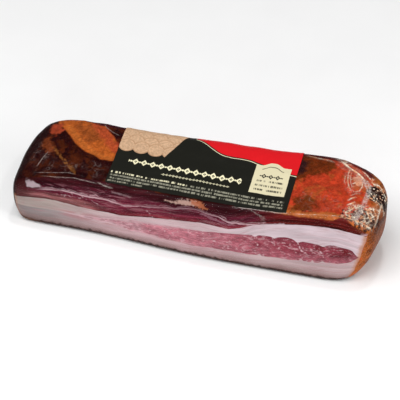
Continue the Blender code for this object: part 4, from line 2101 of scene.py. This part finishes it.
@dataclass
class Studio:
    """A pale floor, soft light and the camera.

    Attributes:
        aim: The point that the camera looks at.
        azimuth: How far to the right of the cut face it stands, in degrees.
        elevation: How far above the floor's plane it looks from, in degrees.
        distance: How far away it stands.
        lens: Its focal length in millimetres.
        sensor: Its sensor's width in millimetres.
        floor_size: The floor's side.
        floor_grey: The floor's colour.
        sky: The strength of the white sky.
        lamps: The lights.
    """

    aim: Point3 = (0.0, -0.00145, 0.027)
    azimuth: float = 14.1
    elevation: float = 45.0
    distance: float = 1.255
    lens: float = 150.0
    sensor: float = 36.0
    floor_size: float = 8.0
    floor_grey: Colour = (0.93, 0.93, 0.93)
    sky: float = 0.20
    lamps: tuple[Lamp, ...] = (
        Lamp("key", (-0.30, -0.50, 1.35), 1.0, 15.0),
        Lamp("fill", (0.45, -1.40, 0.45), 0.9, 5.0),
        Lamp("side", (1.30, -0.30, 0.70), 0.7, 5.0),
        Lamp("glint", (0.10, 0.15, 1.50), 0.10, 3.0),
        Lamp("second_glint", (0.60, -0.35, 1.30), 0.08, 1.8),
    )

    def camera(self) -> None:
        """Puts the camera in its place."""
        made = bpy.data.objects.new("camera", bpy.data.cameras.new("camera"))
        bpy.context.scene.collection.objects.link(made)
        turn, rise = math.radians(self.azimuth), math.radians(self.elevation)
        back = Vector((math.sin(turn) * math.cos(rise), -math.cos(turn) * math.cos(rise), math.sin(rise)))
        made.location = Vector(self.aim) + back * self.distance
        made.rotation_euler = back.to_track_quat("Z", "Y").to_euler()
        made.data.lens = self.lens
        made.data.sensor_width = self.sensor
        made.data.clip_start = 0.05
        bpy.context.scene.camera = made

    def floor(self) -> Piece:
        """Makes the floor.

        Returns:
            The floor's object.
        """
        bpy.ops.object.select_all(action="DESELECT")
        bpy.ops.mesh.primitive_plane_add(size=self.floor_size)
        floor = bpy.context.object
        floor.name = "floor"
        graph = Graph("pale_floor")
        ground = graph.shaded(self.floor_grey, graph.grain(60.0), 0.99, 1.01)
        graph.feed(graph.shader, {"Base Color": ground, "Roughness": 0.9, "Specular IOR Level": 0.0})
        floor.data.materials.append(graph.material)
        return floor

    def hang(self, lamp: Lamp) -> None:
        """Hangs a light that faces the pack.

        Args:
            lamp: Its sizes and its place.
        """
        light = bpy.data.lights.new(lamp.name, "AREA")
        light.size = lamp.size
        light.energy = lamp.watts
        made = bpy.data.objects.new(lamp.name, light)
        bpy.context.scene.collection.objects.link(made)
        made.location = lamp.place
        made.rotation_euler = (Vector(lamp.place) - Vector(self.aim)).to_track_quat("Z", "Y").to_euler()

    def build(self) -> None:
        """Sets up the floor, the lights, the sky and the camera."""
        self.floor()
        for lamp in self.lamps:
            self.hang(lamp)
        world = bpy.data.worlds.new("studio")
        world.use_nodes = True
        sky = world.node_tree.nodes["Background"]
        sky.inputs["Color"].default_value = (1.0, 1.0, 1.0, 1.0)
        sky.inputs["Strength"].default_value = self.sky
        bpy.context.scene.world = world
        bpy.context.scene.view_settings.view_transform = "Standard"
        self.camera()


@dataclass
class BaconPack:
    """The whole pack: four layers of meat and fat, the film round them and the label on it.

    Attributes:
        slab: The slab's form.
        layers: Its four layers, from the top down.
    """

    slab: Slab = field(default_factory=Slab)
    layers: tuple[Layer, ...] = (
        Layer(
            "dark_lean_layer", "upper_lean", DarkLean("dark_lean", "dark_lean", right_tint=0.1),
            foot=UPPER_LEAN_FOOT,
        ),
        Layer(
            "white_fat_layer", "upper_fat", Fat("white_fat", "fat"),
            foot=MIDDLE_LEAN_TOP, roof=UPPER_LEAN_FOOT,
        ),
        Layer(
            "pink_lean_layer", "middle_lean", PinkLean("pink_lean", "pink_lean", right_tint=0.2),
            foot=MIDDLE_LEAN_FOOT, roof=MIDDLE_LEAN_TOP, tips=(-0.1061, 0.1269),
        ),
        Layer(
            "base_fat_layer", "lower_fat",
            Fat(
                "base_fat", "fat", left=(0.285, 0.24, 0.24), centre=(0.57, 0.39, 0.41),
                right=(0.48, 0.36, 0.365), line="over_middle",
            ),
            roof=MIDDLE_LEAN_FOOT,
        ),
    )

    def build(self) -> None:
        """Makes every piece and reports it."""
        form = self.slab.build()
        measures = Measures(self.slab)
        pieces = [layer.build(form, measures) for layer in self.layers]
        film = Film().build(form)
        pieces.append(film)
        pieces.append(Label(self.slab).build(film))
        bpy.data.objects.remove(form)
        for piece in pieces:
            LOG.info("%s: %d faces", piece.name, len(piece.data.polygons))


def main() -> None:
    """Builds the studio and the pack."""
    logging.basicConfig(level=logging.INFO, format="%(message)s")
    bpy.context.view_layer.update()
    Studio().build()
    BaconPack().build()


if __name__ == "__main__":
    main()
